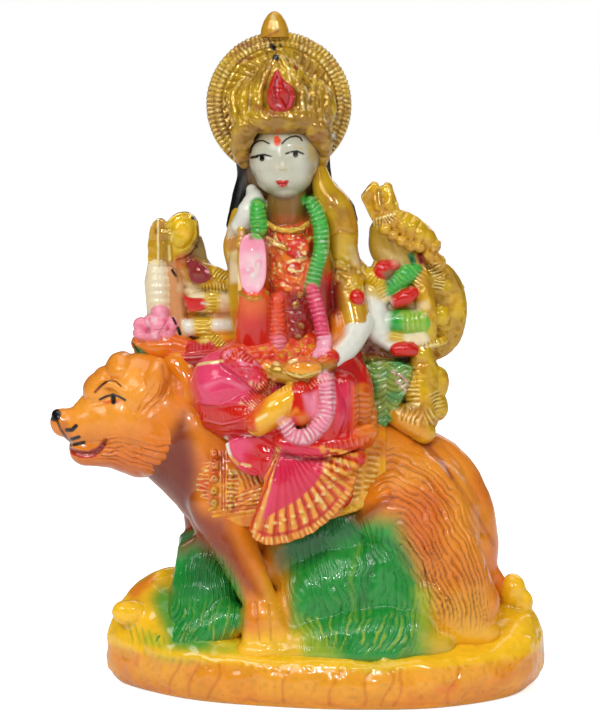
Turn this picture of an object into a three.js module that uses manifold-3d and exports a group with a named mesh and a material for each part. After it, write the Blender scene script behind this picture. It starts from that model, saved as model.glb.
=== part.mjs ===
// Durga seated on her lion: a small cast resin figure with its oval rocky base, moulded as one piece.
// Millimetres, +Z up. The lion faces -X and the goddess faces the viewer, at -Y.

import * as THREE from "three";
import { mergeVertices } from "three/addons/utils/BufferGeometryUtils.js";
import { ParametricGeometry } from "three/addons/geometries/ParametricGeometry.js";
import Module from "manifold-3d";

const wasm = await Module();
wasm.setup();

// Driving dimensions
const FIGURE_HEIGHT = 139; // from the top of the base to the tip of the halo's finial
const BASE_LENGTH = 99.5;
const BASE_DEPTH = 49;
const BASE_HEIGHT = 11; // the rim in front; the rock rises behind it
const BASE_SHOULDER = 3.2; // rounding between the base's side and its top
const ROCK_RISE = 15; // how far the rock stands above the rim at the back, left

// The figure is laid out in shares of its own height: the ground is at 50 and the tip at 677.
const GROUND = 50;
const TIP = 677;
const SHARE = FIGURE_HEIGHT / (TIP - GROUND);
const FIGURE_X = -27; // the figure's own middle line, in shares from the middle of the base

// Meshes and solids

const MERGE = 1e-4;

// A geometry with closed seams and poles, as a solid whose faces point outwards.
function solid(geometry) {
  geometry.deleteAttribute("normal");
  geometry.deleteAttribute("uv");
  const merged = mergeVertices(geometry, MERGE);
  const points = merged.getAttribute("position");
  const corner = (index) => new THREE.Vector3().fromBufferAttribute(points, index);
  const index = merged.getIndex().array;
  const faces = [];
  let volume = 0;
  for (let i = 0; i < index.length; i += 3) {
    const [a, b, c] = index.slice(i, i + 3);
    if (a === b || b === c || c === a) continue;
    faces.push([a, b, c]);
    volume += corner(a).dot(corner(b).cross(corner(c)));
  }
  const outward = volume > 0 ? faces : faces.map(([a, b, c]) => [a, c, b]);
  return new wasm.Manifold(new wasm.Mesh({
    numProp: 3,
    vertProperties: new Float32Array(points.array),
    triVerts: new Uint32Array(outward.flat()),
  }));
}

// A geometry drawn in shares, moved onto the base and made solid.
const toMillimetres = new THREE.Matrix4()
  .makeTranslation(FIGURE_X * SHARE, 0, BASE_HEIGHT - GROUND * SHARE)
  .scale(new THREE.Vector3(SHARE, SHARE, SHARE));
const cast = (geometry) => solid(geometry.applyMatrix4(toMillimetres));

// Moves every point of a geometry to where place says.
function reshape(geometry, place) {
  const points = geometry.getAttribute("position");
  for (let i = 0; i < points.count; i += 1) {
    points.setXYZ(i, ...place(points.getX(i), points.getY(i), points.getZ(i)));
  }
  return geometry;
}

// Shapes, in shares

// An egg or ball at a centre with three half-sizes, turned about Y by tilt degrees.
function blob(centre, [rx, ry, rz], { tilt = 0, around = 6, rows = 4 } = {}) {
  const ball = new THREE.SphereGeometry(1, around, rows).rotateX(Math.PI / 2);
  ball.scale(rx, ry, rz).rotateY(THREE.MathUtils.degToRad(tilt)).translate(...centre);
  return cast(ball);
}

const BEAD_PINCH = 0.72; // the girth between two beads, against the girth of a bead
const CAP_DEPTH = 0.55; // how far a limb's rounded end stands out, against its radius
// A round-ended limb along a smooth curve; each stop is [x, y, z, radius]. Thin flattens it along Y.
// With beads, its girth swells and pinches that many times, as a strung garland does.
function limb(stops, { around = 6, steps = stops.length, thin = 1, beads = 0 } = {}) {
  const path = new THREE.CatmullRomCurve3(stops.map(([x, y, z]) => new THREE.Vector3(x, y, z)));
  const count = beads ? 2 * beads : steps;
  const frames = path.computeFrenetFrames(count);
  const girth = (t) => {
    const at = t * (stops.length - 1);
    const low = Math.min(Math.floor(at), stops.length - 2);
    return THREE.MathUtils.lerp(stops[low][3], stops[low + 1][3], at - low);
  };
  const rings = [];
  for (let i = 0; i <= count; i += 1) {
    const t = path.getUtoTmapping(i / count);
    const pinch = beads && i % 2 === 0 ? BEAD_PINCH : 1;
    rings.push({ centre: path.getPoint(t), frame: i, radius: girth(t) * pinch });
  }
  const cap = ({ centre, frame, radius }, sign) => {
    const out = sign * radius * CAP_DEPTH;
    return { centre: centre.clone().addScaledVector(frames.tangents[frame], out), frame, radius: 0 };
  };
  const all = [cap(rings[0], -1), ...rings, cap(rings[count], 1)];
  const skin = new ParametricGeometry((u, v, target) => {
    const { centre, frame, radius } = all[Math.round(u * (all.length - 1))];
    const angle = 2 * Math.PI * (v === 1 ? 0 : v);
    target.copy(frames.normals[frame]).multiplyScalar(Math.cos(angle) * radius);
    target.addScaledVector(frames.binormals[frame], Math.sin(angle) * radius);
    target.y *= thin;
    target.add(centre);
  }, all.length - 1, around);
  return cast(skin);
}

// A block whose points go where place(u, v, w) says: u along it, v up it and w from its back to its front.
function moulded(along, up, place) {
  const block = new THREE.BoxGeometry(1, 1, 1, along, up, 1).translate(0.5, 0.5, 0.5);
  return cast(reshape(block, place));
}

// A turned shape: profile is a row of [radius, height] from the axis back to the axis.
function turned(profile, around) {
  const points = profile.map(([r, h]) => new THREE.Vector2(r, h));
  return new THREE.LatheGeometry(points, around).rotateX(Math.PI / 2);
}

const { lerp, smoothstep } = THREE.MathUtils;
const wave = (turns) => Math.sin(2 * Math.PI * turns);
// A zigzag between 0 and 1, for pleats and ribs.
const pleat = (turns) => Math.abs(2 * (turns - Math.floor(turns)) - 1);

// The base: an oval of rock, fuller at the tail, with a rounded shoulder and cracks in its side

const BASE_SIDES = 34;
const BASE_FULLEST = 0.075; // the deepest place lies this share of the length past the middle
const FULLNESS = { chest: 2, tail: 3, corner: 0.7 }; // how blunt each end of the oval is, and its corners
const CRACKS = { apart: 3.5, deep: 0.012, bulge: 0.01 };
function baseOutline(angle) {
  const along = Math.cos(angle);
  const half = BASE_LENGTH * (along < 0 ? 0.5 + BASE_FULLEST : 0.5 - BASE_FULLEST);
  const deep = (1 - Math.abs(along) ** (along < 0 ? FULLNESS.chest : FULLNESS.tail)) ** FULLNESS.corner;
  const crack = 1 - CRACKS.deep * pleat(angle * CRACKS.apart) - CRACKS.bulge * wave(1.1 * angle + 0.3);
  return [
    BASE_LENGTH * BASE_FULLEST + half * along * crack,
    Math.sign(Math.sin(angle)) * deep * crack * BASE_DEPTH / 2,
  ];
}

// The rock stands highest below the lion's chest, and less below its tail and between the two.
const HUMPS = { chest: -0.36, tail: 0.46, wide: 0.18, tailRise: 0.62, between: 0.4 };
function rockTop(x, y) {
  const hump = (at) => Math.exp(-(((x / BASE_LENGTH - at) / HUMPS.wide) ** 2));
  const back = smoothstep(y, -0.5 * BASE_DEPTH, 0.12 * BASE_DEPTH);
  return ROCK_RISE * back * Math.max(hump(HUMPS.chest), HUMPS.tailRise * hump(HUMPS.tail), HUMPS.between);
}

function base() {
  const shoulder = BASE_SHOULDER / BASE_HEIGHT;
  const profile = [
    [0, 0], [0.925, 0], [0.97, 0.16], [1, 0.5], [0.985, 1 - shoulder], [0.94, 1 - shoulder / 5],
    [0.8, 0.98], [0, 1],
  ];
  const rock = reshape(turned(profile, BASE_SIDES), (x, y, h) => {
    const [outX, outY] = baseOutline(Math.atan2(y, x));
    const r = Math.hypot(x, y);
    const top = BASE_HEIGHT + rockTop(outX * r, outY * r);
    return [outX * r, outY * r, h * (h > 0.5 ? top : BASE_HEIGHT)];
  });
  return solid(rock);
}

// The lion, walking to the left through the grass

const FLANK = { y: 10, z: 212, deep: 60, tall: 72 };

function lionBody() {
  return [
    limb([[-66, 6, 216, 64], [-20, 8, 222, 68], [60, 10, 210, 70], [112, 12, 176, 76]],
      { around: 9, steps: 3, thin: 0.8 }),
    blob([111, 12, 138], [93, 50, 125], { around: 10, rows: 7 }),
    blob([112, -20, 168], [68, 46, 78], { tilt: -14, around: 9, rows: 6 }),
    limb([[-72, -4, 220, 62], [-108, -8, 250, 56], [-142, -12, 273, 54]],
      { around: 8, steps: 2, thin: 0.86 }),
  ];
}

function foreleg(x, y, lean) {
  const foot = y + Math.sign(y) * 14;
  const toes = [-1, 0, 1].map((k) => (
    blob([x + lean - 14, foot + 9 * k, 66], [12, 6, 11], { around: 5, rows: 3 })
  ));
  return [
    limb([
      [x - 22, y, 212, 30], [x - 6, y, 158, 25], [x + lean / 2, foot, 108, 18], [x + lean, foot, 76, 17],
    ], { steps: 3 }),
    blob([x + lean - 2, foot, 68], [24, 19, 17], { around: 7 }),
    ...(y < 0 ? toes : []),
  ];
}

function hindleg(y) {
  const out = Math.sign(y);
  return [
    limb([[140, y, 140, 44], [174, y + 4 * out, 100, 26], [184, y + 8 * out, 74, 17]]),
    limb([[186, y + 8 * out, 72, 16], [150, y + 12 * out, 70, 17], [112, y + 14 * out, 68, 16]],
      { steps: 1 }),
  ];
}

const LION_HEAD = [-156, -14, 288];

function lionHead() {
  const [x, y, z] = LION_HEAD;
  const mouth = moulded(3, 1, (u, v, w) => {
    const lip = 4 * Math.sin(Math.PI * u) + 1;
    return [x - 78 + 44 * u, y - 46 + 56 * w, z - 40 + 12 * u * u + lip * (v - 0.5)];
  });
  const skull = [
    blob([x, y, z + 12], [46, 44, 47], { around: 9, rows: 6 }),
    blob([x - 31, y - 4, z + 18], [26, 31, 21], { around: 8, rows: 5 }),
    limb([[x - 20, y - 2, z - 4, 41], [x - 46, y - 6, z - 12, 34], [x - 70, y - 9, z - 16, 21]],
      { around: 9, steps: 2 }),
    blob([x - 44, y - 8, z - 34], [40, 29, 26], { tilt: 12, around: 8, rows: 5 }),
  ];
  return [
    union(skull).subtract(mouth),
    blob([x - 82, y - 12, z - 7], [7, 12, 7]),
    limb([[x - 52, y - 16, z + 18, 4], [x - 42, y - 25, z + 27, 6], [x - 28, y - 33, z + 27, 4]],
      { around: 4, steps: 2 }),
    blob([x + 15, y - 40, z + 34], [13, 9, 22], { tilt: 14, rows: 5 }),
    blob([x + 10, y + 36, z + 34], [13, 9, 22], { tilt: 10, rows: 5 }),
    blob([x + 38, y + 8, z + 34], [24, 22, 27], { tilt: 20 }),
    blob([x + 22, y - 26, z - 22], [28, 26, 42], { tilt: -16, around: 7, rows: 5 }),
  ];
}

// Locks of mane and fur lie on the body as tapered strands, each with its own start, run and drop.
function locks(count, start, run, thick) {
  return Array.from({ length: count }, (_, i) => {
    const s = i / (count - 1);
    const [x, y, z] = start(s);
    const [dx, dy, dz] = run(s);
    return limb([
      [x, y, z, thick], [x + dx / 2, y + dy / 2 - 2, z + 0.4 * dz, thick],
      [x + dx, y + dy, z + dz, 0.4 * thick],
    ], { around: 3, steps: 2 });
  });
}

function tail() {
  return [
    limb([[156, 24, 216, 9], [178, 18, 168, 9], [187, 10, 129, 9], [205, 4, 95, 8]], { around: 5, steps: 3 }),
    blob([216, 0, 99], [14, 13, 15]),
  ];
}

// Grass combed up the legs and belly, in wavy blades; it is tallest under the belly and parts at the foreleg.
const BLADES = 10;
const GRASS = { from: -150, to: 136, tallest: 10, root: GROUND - 6, edge: 118, peak: 62, blade: 7 };
function grass() {
  const near = (x, at, wide) => Math.exp(-(((x - at) / wide) ** 2));
  return moulded(2 * BLADES, 3, (u, v, w) => {
    const x = lerp(GRASS.from, GRASS.to, u);
    const fall = 30 * smoothstep(x, 60, 130) + 22 * smoothstep(-x, 96, 150);
    const top = GRASS.edge + GRASS.peak * near(x, GRASS.tallest, 95) - fall;
    const blade = GRASS.blade * pleat(u * BLADES) * Math.sin(Math.PI * (0.15 + 0.75 * v));
    const oval = Math.sqrt(Math.max(0.1, 1 - ((x + 5) / 175) ** 2));
    const front = lerp(88, 56, v) * oval - 30 * near(x, -40, 22);
    const lean = 12 * wave(v * 0.45) * (1 - 2 * u);
    return [x + lean, lerp(60, -front - blade, w), lerp(GRASS.root, top, v)];
  });
}

// The saddle cloth follows the lion's flank as a shallow curved slab with a raised border.
function saddleCloth() {
  return moulded(6, 4, (u, v, w) => {
    const border = v < 0.25 || u < 0.1 || u > 0.9 ? 3 : 0;
    const turn = lerp(-0.42, 1.1, v);
    const out = lerp(0.8, 1.07, w) + (w * border) / FLANK.deep;
    const x = lerp(-112, 98, u);
    return [x, FLANK.y - FLANK.deep * out * Math.cos(turn), FLANK.z - 4 + FLANK.tall * out * Math.sin(turn)];
  });
}

// The goddess, seated across the lion's back

function lap() {
  return [
    blob([0, -12, 328], [66, 54, 50], { around: 8 }),
    limb([[4, -20, 326, 43], [-46, -42, 324, 38], [-78, -50, 314, 32]], { around: 7, steps: 2 }),
    limb([[-78, -52, 302, 27], [-52, -68, 288, 25], [-24, -78, 282, 17]], { around: 6, steps: 2 }),
    limb([[6, -18, 322, 44], [42, -40, 308, 38], [50, -52, 276, 33], [44, -56, 226, 26], [36, -58, 196, 20]],
      { around: 7, steps: 4 }),
    limb([[-44, -82, 280, 13], [-22, -88, 292, 16], [2, -84, 310, 11]], { steps: 2 }),
  ];
}

// The hem's band over the crossed shin, and the folds that run beside it
function skirtFolds() {
  const band = limb([
    [-100, -60, 288, 6], [-78, -78, 272, 6], [-52, -86, 282, 6], [-40, -82, 304, 6], [-26, -70, 320, 6],
  ], { around: 4, steps: 4 });
  const folds = [0, 1].map((k) => limb([
    [36 + 14 * k, -72 - 4 * k, 318 - 10 * k, 7], [50 + 8 * k, -88, 290, 8], [48 + 8 * k, -86, 260 - 6 * k, 6],
  ], { around: 4, steps: 2 }));
  const flap = moulded(3, 2, (u, v, w) => [
    lerp(-76, -40, u) + 6 * v, lerp(-50, -84 - 6 * pleat(1.5 * u), w), lerp(234, 276, v) + 6 * pleat(1.5 * u),
  ]);
  return [band, ...folds, flap];
}

// The front pleats open like a fan from below the knee.
const PLEATS = 9;
const FAN_APEX = [-14, -76, 262];
function fan() {
  const [ax, ay, az] = FAN_APEX;
  return moulded(2 * PLEATS, 3, (u, v, w) => {
    const angle = THREE.MathUtils.degToRad(lerp(246, 356, u));
    const reach = lerp(104, 76, smoothstep(u, 0.1, 0.9));
    const r = lerp(6, reach + 4 * pleat(u * PLEATS), v);
    const relief = 9 * v * pleat(u * PLEATS + 0.5);
    const border = v > 0.7 ? 3 : 0;
    const front = ay - 4 - relief - border + 10 * v;
    return [ax + r * Math.cos(angle), lerp(ay + 44, front, w), az + r * Math.sin(angle)];
  });
}

const HEAD = [-15, -8, 532];

function torso() {
  const [x, y, z] = HEAD;
  return [
    limb([[2, -8, 330, 50], [-2, -8, 366, 42], [-9, -6, 412, 50], [-11, -4, 450, 46], [-12, -3, 474, 24]],
      { around: 8, steps: 3, thin: 0.66 }),
    limb([[-56, 4, 448, 18], [-12, 2, 466, 20], [40, 4, 450, 18]], { steps: 2 }),
    limb([[x + 2, y + 6, z - 64, 18], [x + 1, y + 3, z - 26, 17]], { around: 7, steps: 1 }),
  ];
}

function head() {
  const [x, y, z] = HEAD;
  return [
    blob(HEAD, [36, 34, 35], { around: 10, rows: 7 }),
    blob([x + 2, y - 4, z - 17], [28, 28, 24], { around: 8 }),
    blob([x - 2, y - 32, z - 8], [4, 7, 8]),
    blob([x, y + 18, z - 2], [44, 30, 45], { around: 7, rows: 5 }),
  ];
}

// The shawl hangs from the head down the back; loose hair and its front edges fall over both shoulders.
function shawl() {
  const cape = moulded(4, 5, (u, v, w) => {
    const z = lerp(338, HEAD[2] + 2, v);
    const drawnIn = smoothstep(z, 450, 512);
    const side = 2 * u - 1;
    const back = lerp(38, 18, side * side) - 6 * drawnIn + 3 * wave(2 * u);
    return [lerp(-7, -16, drawnIn) + side * lerp(63, 43, drawnIn), lerp(-4, back, w), z];
  });
  return [
    cape,
    limb([[-51, -6, 510, 9], [-56, -8, 484, 10], [-61, -6, 452, 11]], { around: 5, steps: 2 }),
    limb([[22, -8, 506, 9], [36, -10, 484, 11], [46, -6, 460, 11], [48, -4, 436, 10]],
      { around: 5, steps: 3 }),
  ];
}

function crown() {
  const [x, y, z] = HEAD;
  const band = limb([
    [x - 43, y + 2, z, 6], [x - 29, y - 24, z + 18, 6], [x, y - 36, z + 28, 7],
    [x + 29, y - 24, z + 18, 6], [x + 43, y + 2, z, 6],
  ], { around: 4, steps: 6 });
  const pair = (out, back, up, size, tilt) => [-1, 1].map((side) => (
    blob([x + side * out, y + back, z + up], [size, 10, 1.7 * size],
      { tilt: side * tilt, around: 5, rows: 3 })
  ));
  const flame = blob([x - 4, y - 8, z + 58], [26, 15, 42], { around: 7, rows: 5 });
  const drop = turned([[0, -20], [9, -16], [12, -6], [8, 8], [0, 24]], 6).scale(1, 0.6, 1);
  const gem = cast(drop.translate(x - 4, y - 25, z + 64));
  const leaves = [...pair(40, 4, 48, 13, 22), ...pair(26, -8, 44, 11, 10), ...pair(24, 4, 76, 12, 12)];
  return [band, flame, gem, ...leaves];
}

// The halo stands behind the crown: a thin disc ribbed like a shell, with a beaded rim in two rows.
const HALO = { back: 32, above: 53, radius: 72, thick: 6, ribs: 18 };
function halo() {
  const { radius, thick, ribs } = HALO;
  const [x, y, z] = [HEAD[0] - 6, HEAD[1] + HALO.back, HEAD[2] + HALO.above];
  const profile = [
    [0, thick], [0.7 * radius, thick * 0.6], [0.84 * radius, thick * 1.3],
    [radius, thick * 0.8], [0.97 * radius, -thick], [0, -thick],
  ];
  const disc = reshape(turned(profile, 2 * ribs).rotateX(Math.PI / 2), (px, py, pz) => {
    const r = Math.hypot(px, pz);
    const rib = pleat((Math.atan2(pz, px) * ribs) / (2 * Math.PI));
    const grow = 1 + (r > 0.8 * radius ? 0.03 * rib : 0);
    const raise = py < 0 && r > 0.5 * radius ? 2 * rib : 0;
    return [x + px * grow, y + py - raise, z + pz * grow];
  });
  const finial = turned([[0, -8], [16, -8], [14, 2], [9, 11], [0, 21]], 8);
  return [cast(disc), cast(finial.translate(x - 4, y - 4, z + radius))];
}

// Arms. Each is shoulder, elbow, wrist and a closed hand.
function arm(shoulder, elbow, wrist, thick) {
  const hand = [wrist[0], wrist[1] - 2, wrist[2]];
  return [
    limb([[...shoulder, thick * 1.15], [...elbow, thick], [...wrist, thick * 0.8]], { around: 5, steps: 2 }),
    blob(hand, [thick * 1.05, thick * 0.9, thick], { around: 5, rows: 3 }),
  ];
}

function frontArms() {
  const fingers = [0, 1, 2, 3].map((k) => limb([
    [-58 + 8 * k, -60, 436, 4.4], [-57 + 7.6 * k, -62, 466 - 3 * Math.abs(k - 1.5), 3.8],
  ], { around: 4, steps: 1 }));
  return [
    limb([[-54, 0, 446, 18], [-56, -18, 396, 17], [-48, -36, 346, 17]], { steps: 2 }),
    limb([[-46, -40, 342, 17], [-46, -54, 376, 15], [-46, -58, 404, 12]], { steps: 2 }),
    blob([-46, -58, 424], [16, 8, 22], { around: 5 }),
    ...fingers,
    limb([[40, 2, 446, 17], [46, -12, 410, 17], [54, -26, 368, 16]], { steps: 2 }),
    limb([[55, -28, 364, 15], [42, -46, 350, 12], [28, -58, 338, 11]], { steps: 2 }),
    blob([24, -60, 336], [13, 9, 10]),
  ];
}

function leftArms() {
  return [
    ...arm([-60, 6, 402], [-86, 4, 400], [-112, 0, 422], 12),
    limb([[-92, 6, 412, 11], [-102, 5, 436, 9], [-108, 2, 458, 7]], { around: 5, steps: 2 }),
    ...arm([-64, 6, 396], [-88, 0, 388], [-112, -4, 398], 11),
    ...arm([-60, 4, 364], [-92, -4, 364], [-120, -8, 366], 11),
    ...arm([-58, 0, 346], [-88, -10, 340], [-112, -14, 346], 11),
    // the drape that joins the arms behind
    blob([-84, 12, 386], [34, 12, 58]),
    // sword, held upright
    cast(turned([[0, 0], [14, 0], [14, 37], [9, 48], [0, 50]], 4)
      .rotateZ(Math.PI / 4).scale(0.8, 0.5, 1).translate(-140, 0, 426)),
    limb([[-140, 0, 436, 11], [-141, 0, 404, 14], [-140, -2, 376, 13]], { steps: 2 }),
    // its strap
    limb([[-126, -1, 440, 7], [-124, -2, 404, 8], [-122, -4, 370, 8]], { around: 5, steps: 1 }),
    // conch
    limb([[-128, 0, 430, 6], [-120, -2, 448, 15], [-116, -2, 465, 17], [-109, -2, 478, 12]], { steps: 3 }),
    // lotus bud and its cup
    limb([[-142, -12, 334, 11], [-149, -13, 352, 21], [-148, -12, 368, 17], [-146, -12, 380, 8]],
      { around: 7, steps: 3 }),
    limb([[-116, -10, 362, 9], [-132, -12, 348, 9], [-138, -12, 336, 9]], { around: 5, steps: 2 }),
  ];
}

function rightArms() {
  const knuckles = [0, 1, 2].map((k) => (
    blob([92 + 15 * k, -6, 474 - 11 * k], [9, 8, 7], { around: 5, rows: 3 })
  ));
  return [
    ...arm([50, 8, 408], [72, 6, 406], [86, 0, 422], 12),
    ...arm([52, 6, 402], [78, 0, 392], [103, -4, 394], 12),
    ...arm([54, 2, 368], [80, -8, 352], [103, -10, 346], 12),
    blob([93, 14, 392], [28, 12, 62]),
    // trident head and the hand below it
    limb([[88, 6, 430, 12], [80, 6, 462, 12], [76, 6, 490, 14]], { steps: 2 }),
    limb([[80, 6, 490, 14], [104, 8, 461, 20], [127, 8, 445, 17]], { steps: 2 }),
    ...knuckles,
    ...[[63, 492], [76, 501], [90, 498]].map(([x, z]) => blob([x, 4, z], [7, 5, 9], { around: 5, rows: 3 })),
    // round shield
    cast(turned([[0, -7], [46, -5], [50, 0], [38, 7], [0, 9]], 12)
      .rotateX(Math.PI / 2).scale(0.66, 1, 1.06).rotateY(0.1).translate(136, 12, 381)),
    // mace
    limb([[114, 0, 356, 12], [119, -2, 312, 16], [124, -2, 270, 13]], { steps: 2 }),
    blob([140, 0, 308], [11, 9, 20], { tilt: -8, around: 5 }),
    blob([135, 0, 285], [12, 9, 17], { tilt: 14, around: 5 }),
  ];
}

// Garlands, belt, necklaces and the scarf's hanging end
function trimmings() {
  const scarf = moulded(4, 4, (u, v, w) => {
    const wide = 26 * Math.sin(Math.PI * Math.min(1, 0.12 + 0.62 * v)) ** 0.8 + 2;
    const scale = 3 * pleat(3 * u + 3 * v);
    return [84 + (2 * u - 1) * wide, lerp(-8, -46 - scale, w), lerp(262, 346, v)];
  });
  const necklace = (z, wide, sag, out) => limb([
    [-12 - wide, -18, z, 4], [-12, -out, z - sag, 4], [-12 + wide, -18, z, 4],
  ], { around: 4, steps: 4 });
  return [
    limb([[-37, -14, 480, 8], [-41, -21, 466, 9], [-39, -26, 450, 9]], { around: 4, beads: 2 }),
    limb([[16, -16, 482, 7], [21, -24, 464, 8], [21, -33, 440, 8], [14, -40, 410, 8]],
      { around: 4, beads: 5 }),
    limb([[15, -42, 404, 6], [19, -45, 384, 7], [24, -50, 364, 8], [20, -54, 344, 6]],
      { around: 4, beads: 3 }),
    limb([[-22, -44, 392, 7], [-20, -46, 372, 8], [-20, -50, 350, 7]], { around: 4, beads: 3 }),
    limb([[26, -66, 322, 7], [26, -82, 298, 8], [20, -90, 276, 8], [0, -92, 262, 8], [-12, -90, 272, 6]],
      { around: 4, beads: 7 }),
    limb([[-40, -46, 336, 7], [-10, -60, 328, 8], [30, -56, 334, 7]], { around: 4, steps: 4 }),
    blob([2, -64, 328], [20, 6, 9]),
    necklace(466, 22, 12, 29), necklace(454, 34, 44, 38),
    scarf,
  ];
}

const union = (parts) => wasm.Manifold.union(parts);

// The whole casting. Closed pockets left between the shapes are filled, as the resin fills them.
function casting() {
  const whole = union([
    base(), grass(),
    ...lionBody(), ...foreleg(-54, -40, 16), ...foreleg(-88, 40, -36), ...hindleg(-40), ...hindleg(56),
    ...locks(5, (s) => [-108 + 10 * s, -56, 312 - 88 * s], () => [-18, -2, -30], 6),
    ...locks(5, (s) => [84 + 70 * s, -64 + 18 * s * s, 232 - 92 * s], (s) => [30 - 20 * s, 4, -32], 5),
    ...lionHead(), ...tail(), saddleCloth(),
    ...lap(), ...skirtFolds(), fan(), ...torso(), ...head(), ...shawl(), ...crown(), ...halo(),
    ...frontArms(), ...leftArms(), ...rightArms(), ...trimmings(),
  ]);
  return wasm.Manifold.compose(whole.decompose().filter((shell) => shell.volume() > 0));
}

function meshOf(body, name, material) {
  const { vertProperties, triVerts } = body.getMesh();
  const geometry = new THREE.BufferGeometry();
  geometry.setAttribute("position", new THREE.BufferAttribute(vertProperties, 3));
  geometry.setIndex(new THREE.BufferAttribute(triVerts, 1));
  geometry.computeVertexNormals();
  const mesh = new THREE.Mesh(geometry, material);
  mesh.name = name;
  return mesh;
}

const paintedResin = new THREE.MeshStandardMaterial({ color: 0xe8912f, roughness: 0.3, metalness: 0 });

const figure = new THREE.Group();
const durga = meshOf(casting(), "durga_figure", paintedResin);
figure.add(durga);

// The origin is on the ground, in the middle of the whole figure's outline from above.
durga.geometry.computeBoundingBox();
const middle = durga.geometry.boundingBox.getCenter(new THREE.Vector3());
durga.position.set(-middle.x, -middle.y, 0);

export default figure;
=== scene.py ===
"""A cast, hand-painted resin figurine of a seated goddess on her lion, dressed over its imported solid."""

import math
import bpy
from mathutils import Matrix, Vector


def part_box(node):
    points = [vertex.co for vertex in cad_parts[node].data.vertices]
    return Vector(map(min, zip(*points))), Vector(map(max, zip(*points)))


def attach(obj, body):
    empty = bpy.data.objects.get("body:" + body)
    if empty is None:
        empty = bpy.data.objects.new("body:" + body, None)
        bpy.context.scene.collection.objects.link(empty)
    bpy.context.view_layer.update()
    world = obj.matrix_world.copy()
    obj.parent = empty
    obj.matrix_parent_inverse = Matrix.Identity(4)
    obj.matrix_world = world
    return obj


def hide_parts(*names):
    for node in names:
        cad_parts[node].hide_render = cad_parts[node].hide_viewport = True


bl_info = {
    "name": "Painted Resin Goddess Figurine",
    "version": (1, 0, 0),
    "blender": (4, 5, 0),
    "location": "View3D > Sidebar > Figurine",
    "description": "Models a hand-painted cast resin figurine piece by piece, with its stage",
    "category": "Add Mesh",
}

import bpy
import numpy as np
from bpy.props import FloatProperty, FloatVectorProperty, PointerProperty
from mathutils import Euler, Matrix, Vector
from mathutils.bvhtree import BVHTree

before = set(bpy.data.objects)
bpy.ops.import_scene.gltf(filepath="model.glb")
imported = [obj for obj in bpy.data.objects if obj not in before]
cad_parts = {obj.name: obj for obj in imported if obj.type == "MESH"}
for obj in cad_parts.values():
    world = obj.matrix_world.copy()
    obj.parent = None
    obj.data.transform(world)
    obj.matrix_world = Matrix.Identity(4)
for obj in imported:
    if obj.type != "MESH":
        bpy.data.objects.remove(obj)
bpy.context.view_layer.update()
NODE = "durga_figure"
FINENESS, FUR_DEPTH = 0.0004, 0.00028

# ---------------------------------------------------------------- the grid that the figure is laid out on

# Lengths are in shares of the figure's height. The finial's tip is at 678 and the table at 0.4.
TIP, TABLE, NOSE = 678.0, 0.38, -245.0
LOW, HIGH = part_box(NODE)
SHARE = (HIGH.z - LOW.z) / (TIP - TABLE)
GRID = Matrix.Translation((LOW.x - NOSE * SHARE, (LOW.y + HIGH.y) / 2, LOW.z - TABLE * SHARE)) @ Matrix.Scale(SHARE, 4)

# A place is given as it is seen from the front: across and down in a view 600 wide and 719 tall, and back in shares.
VIEW_TALL, VIEW_SHIFT, SENSOR = 719.0, -5.5, 36.0
AWAY, RISE, EYE_HEIGHT, EYE_LINE, MIDDLE = 2400.0, math.radians(7.5), 338.0, 354.0, 300.0
SIN, COS = math.sin(RISE), math.cos(RISE)


def spot(across, down, back=0.0):
    """The place in the grid that the front view shows at across and down, so far back."""
    w = (EYE_LINE - down) / AWAY
    up = (w * (AWAY + back * COS) - back * SIN) / (COS + w * SIN)
    depth = AWAY + back * COS - up * SIN
    return Vector(((across - MIDDLE) * depth / AWAY, back, EYE_HEIGHT + up))


def seen(points):
    """Across and down in the front view, for an array of places in the grid."""
    up = points[:, 2] - EYE_HEIGHT
    depth = AWAY + points[:, 1] * COS - up * SIN
    return MIDDLE + AWAY * points[:, 0] / depth, EYE_LINE - AWAY * (up * COS + points[:, 1] * SIN) / depth


# ---------------------------------------------------------------- paints

def linear(hex_code):
    """An sRGB hex colour as linear red, green and blue."""
    parts = [int(hex_code[i:i + 2], 16) / 255 for i in (1, 3, 5)]
    return [c / 12.92 if c <= 0.04045 else ((c + 0.055) / 1.055) ** 2.4 for c in parts]


# name: (colour, how much metal flake it holds)
PAINTS = {
    "resin_white": ("#DCDCCF", 0.0),
    "face_white": ("#BCBBA6", 0.0),
    "lion_orange": ("#E08018", 0.0),
    "lion_light": ("#F0A02F", 0.0),
    "lion_deep": ("#D9641A", 0.0),
    "lion_shadow": ("#85280E", 0.0),
    "rock_yellow": ("#F4BE1E", 0.0),
    "rock_orange": ("#E8962A", 0.0),
    "leaf_green": ("#189434", 0.0),
    "leaf_dark": ("#1B6B34", 0.0),
    "leaf_lime": ("#A9BE2E", 0.0),
    "pink": ("#DC3E66", 0.0),
    "pink_deep": ("#D01E40", 0.0),
    "pink_pale": ("#F0A8BC", 0.0),
    "lotus_pink": ("#E88CA2", 0.0),
    "red": ("#C81A12", 0.0),
    "red_dark": ("#83161A", 0.0),
    "red_orange": ("#DE4A1E", 0.0),
    "gold": ("#B98D2A", 0.35),
    "gold_bright": ("#D9AE38", 0.4),
    "gold_yellow": ("#D2AC12", 0.15),
    "gold_brown": ("#80561F", 0.2),
    "ochre": ("#C08C1E", 0.15),
    "foot_yellow": ("#EDAE26", 0.05),
    "garland_green": ("#3DAA3C", 0.0),
    "scarf_green": ("#4E8B40", 0.1),
    "olive": ("#8A7034", 0.1),
    "neck_brown": ("#86602A", 0.05),
    "tan": ("#C98C58", 0.0),
    "cream": ("#E4D2A8", 0.0),
    "gold_light": ("#F6E29A", 0.3),
    "black": ("#060606", 0.0),
}
NAMES = list(PAINTS)


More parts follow.
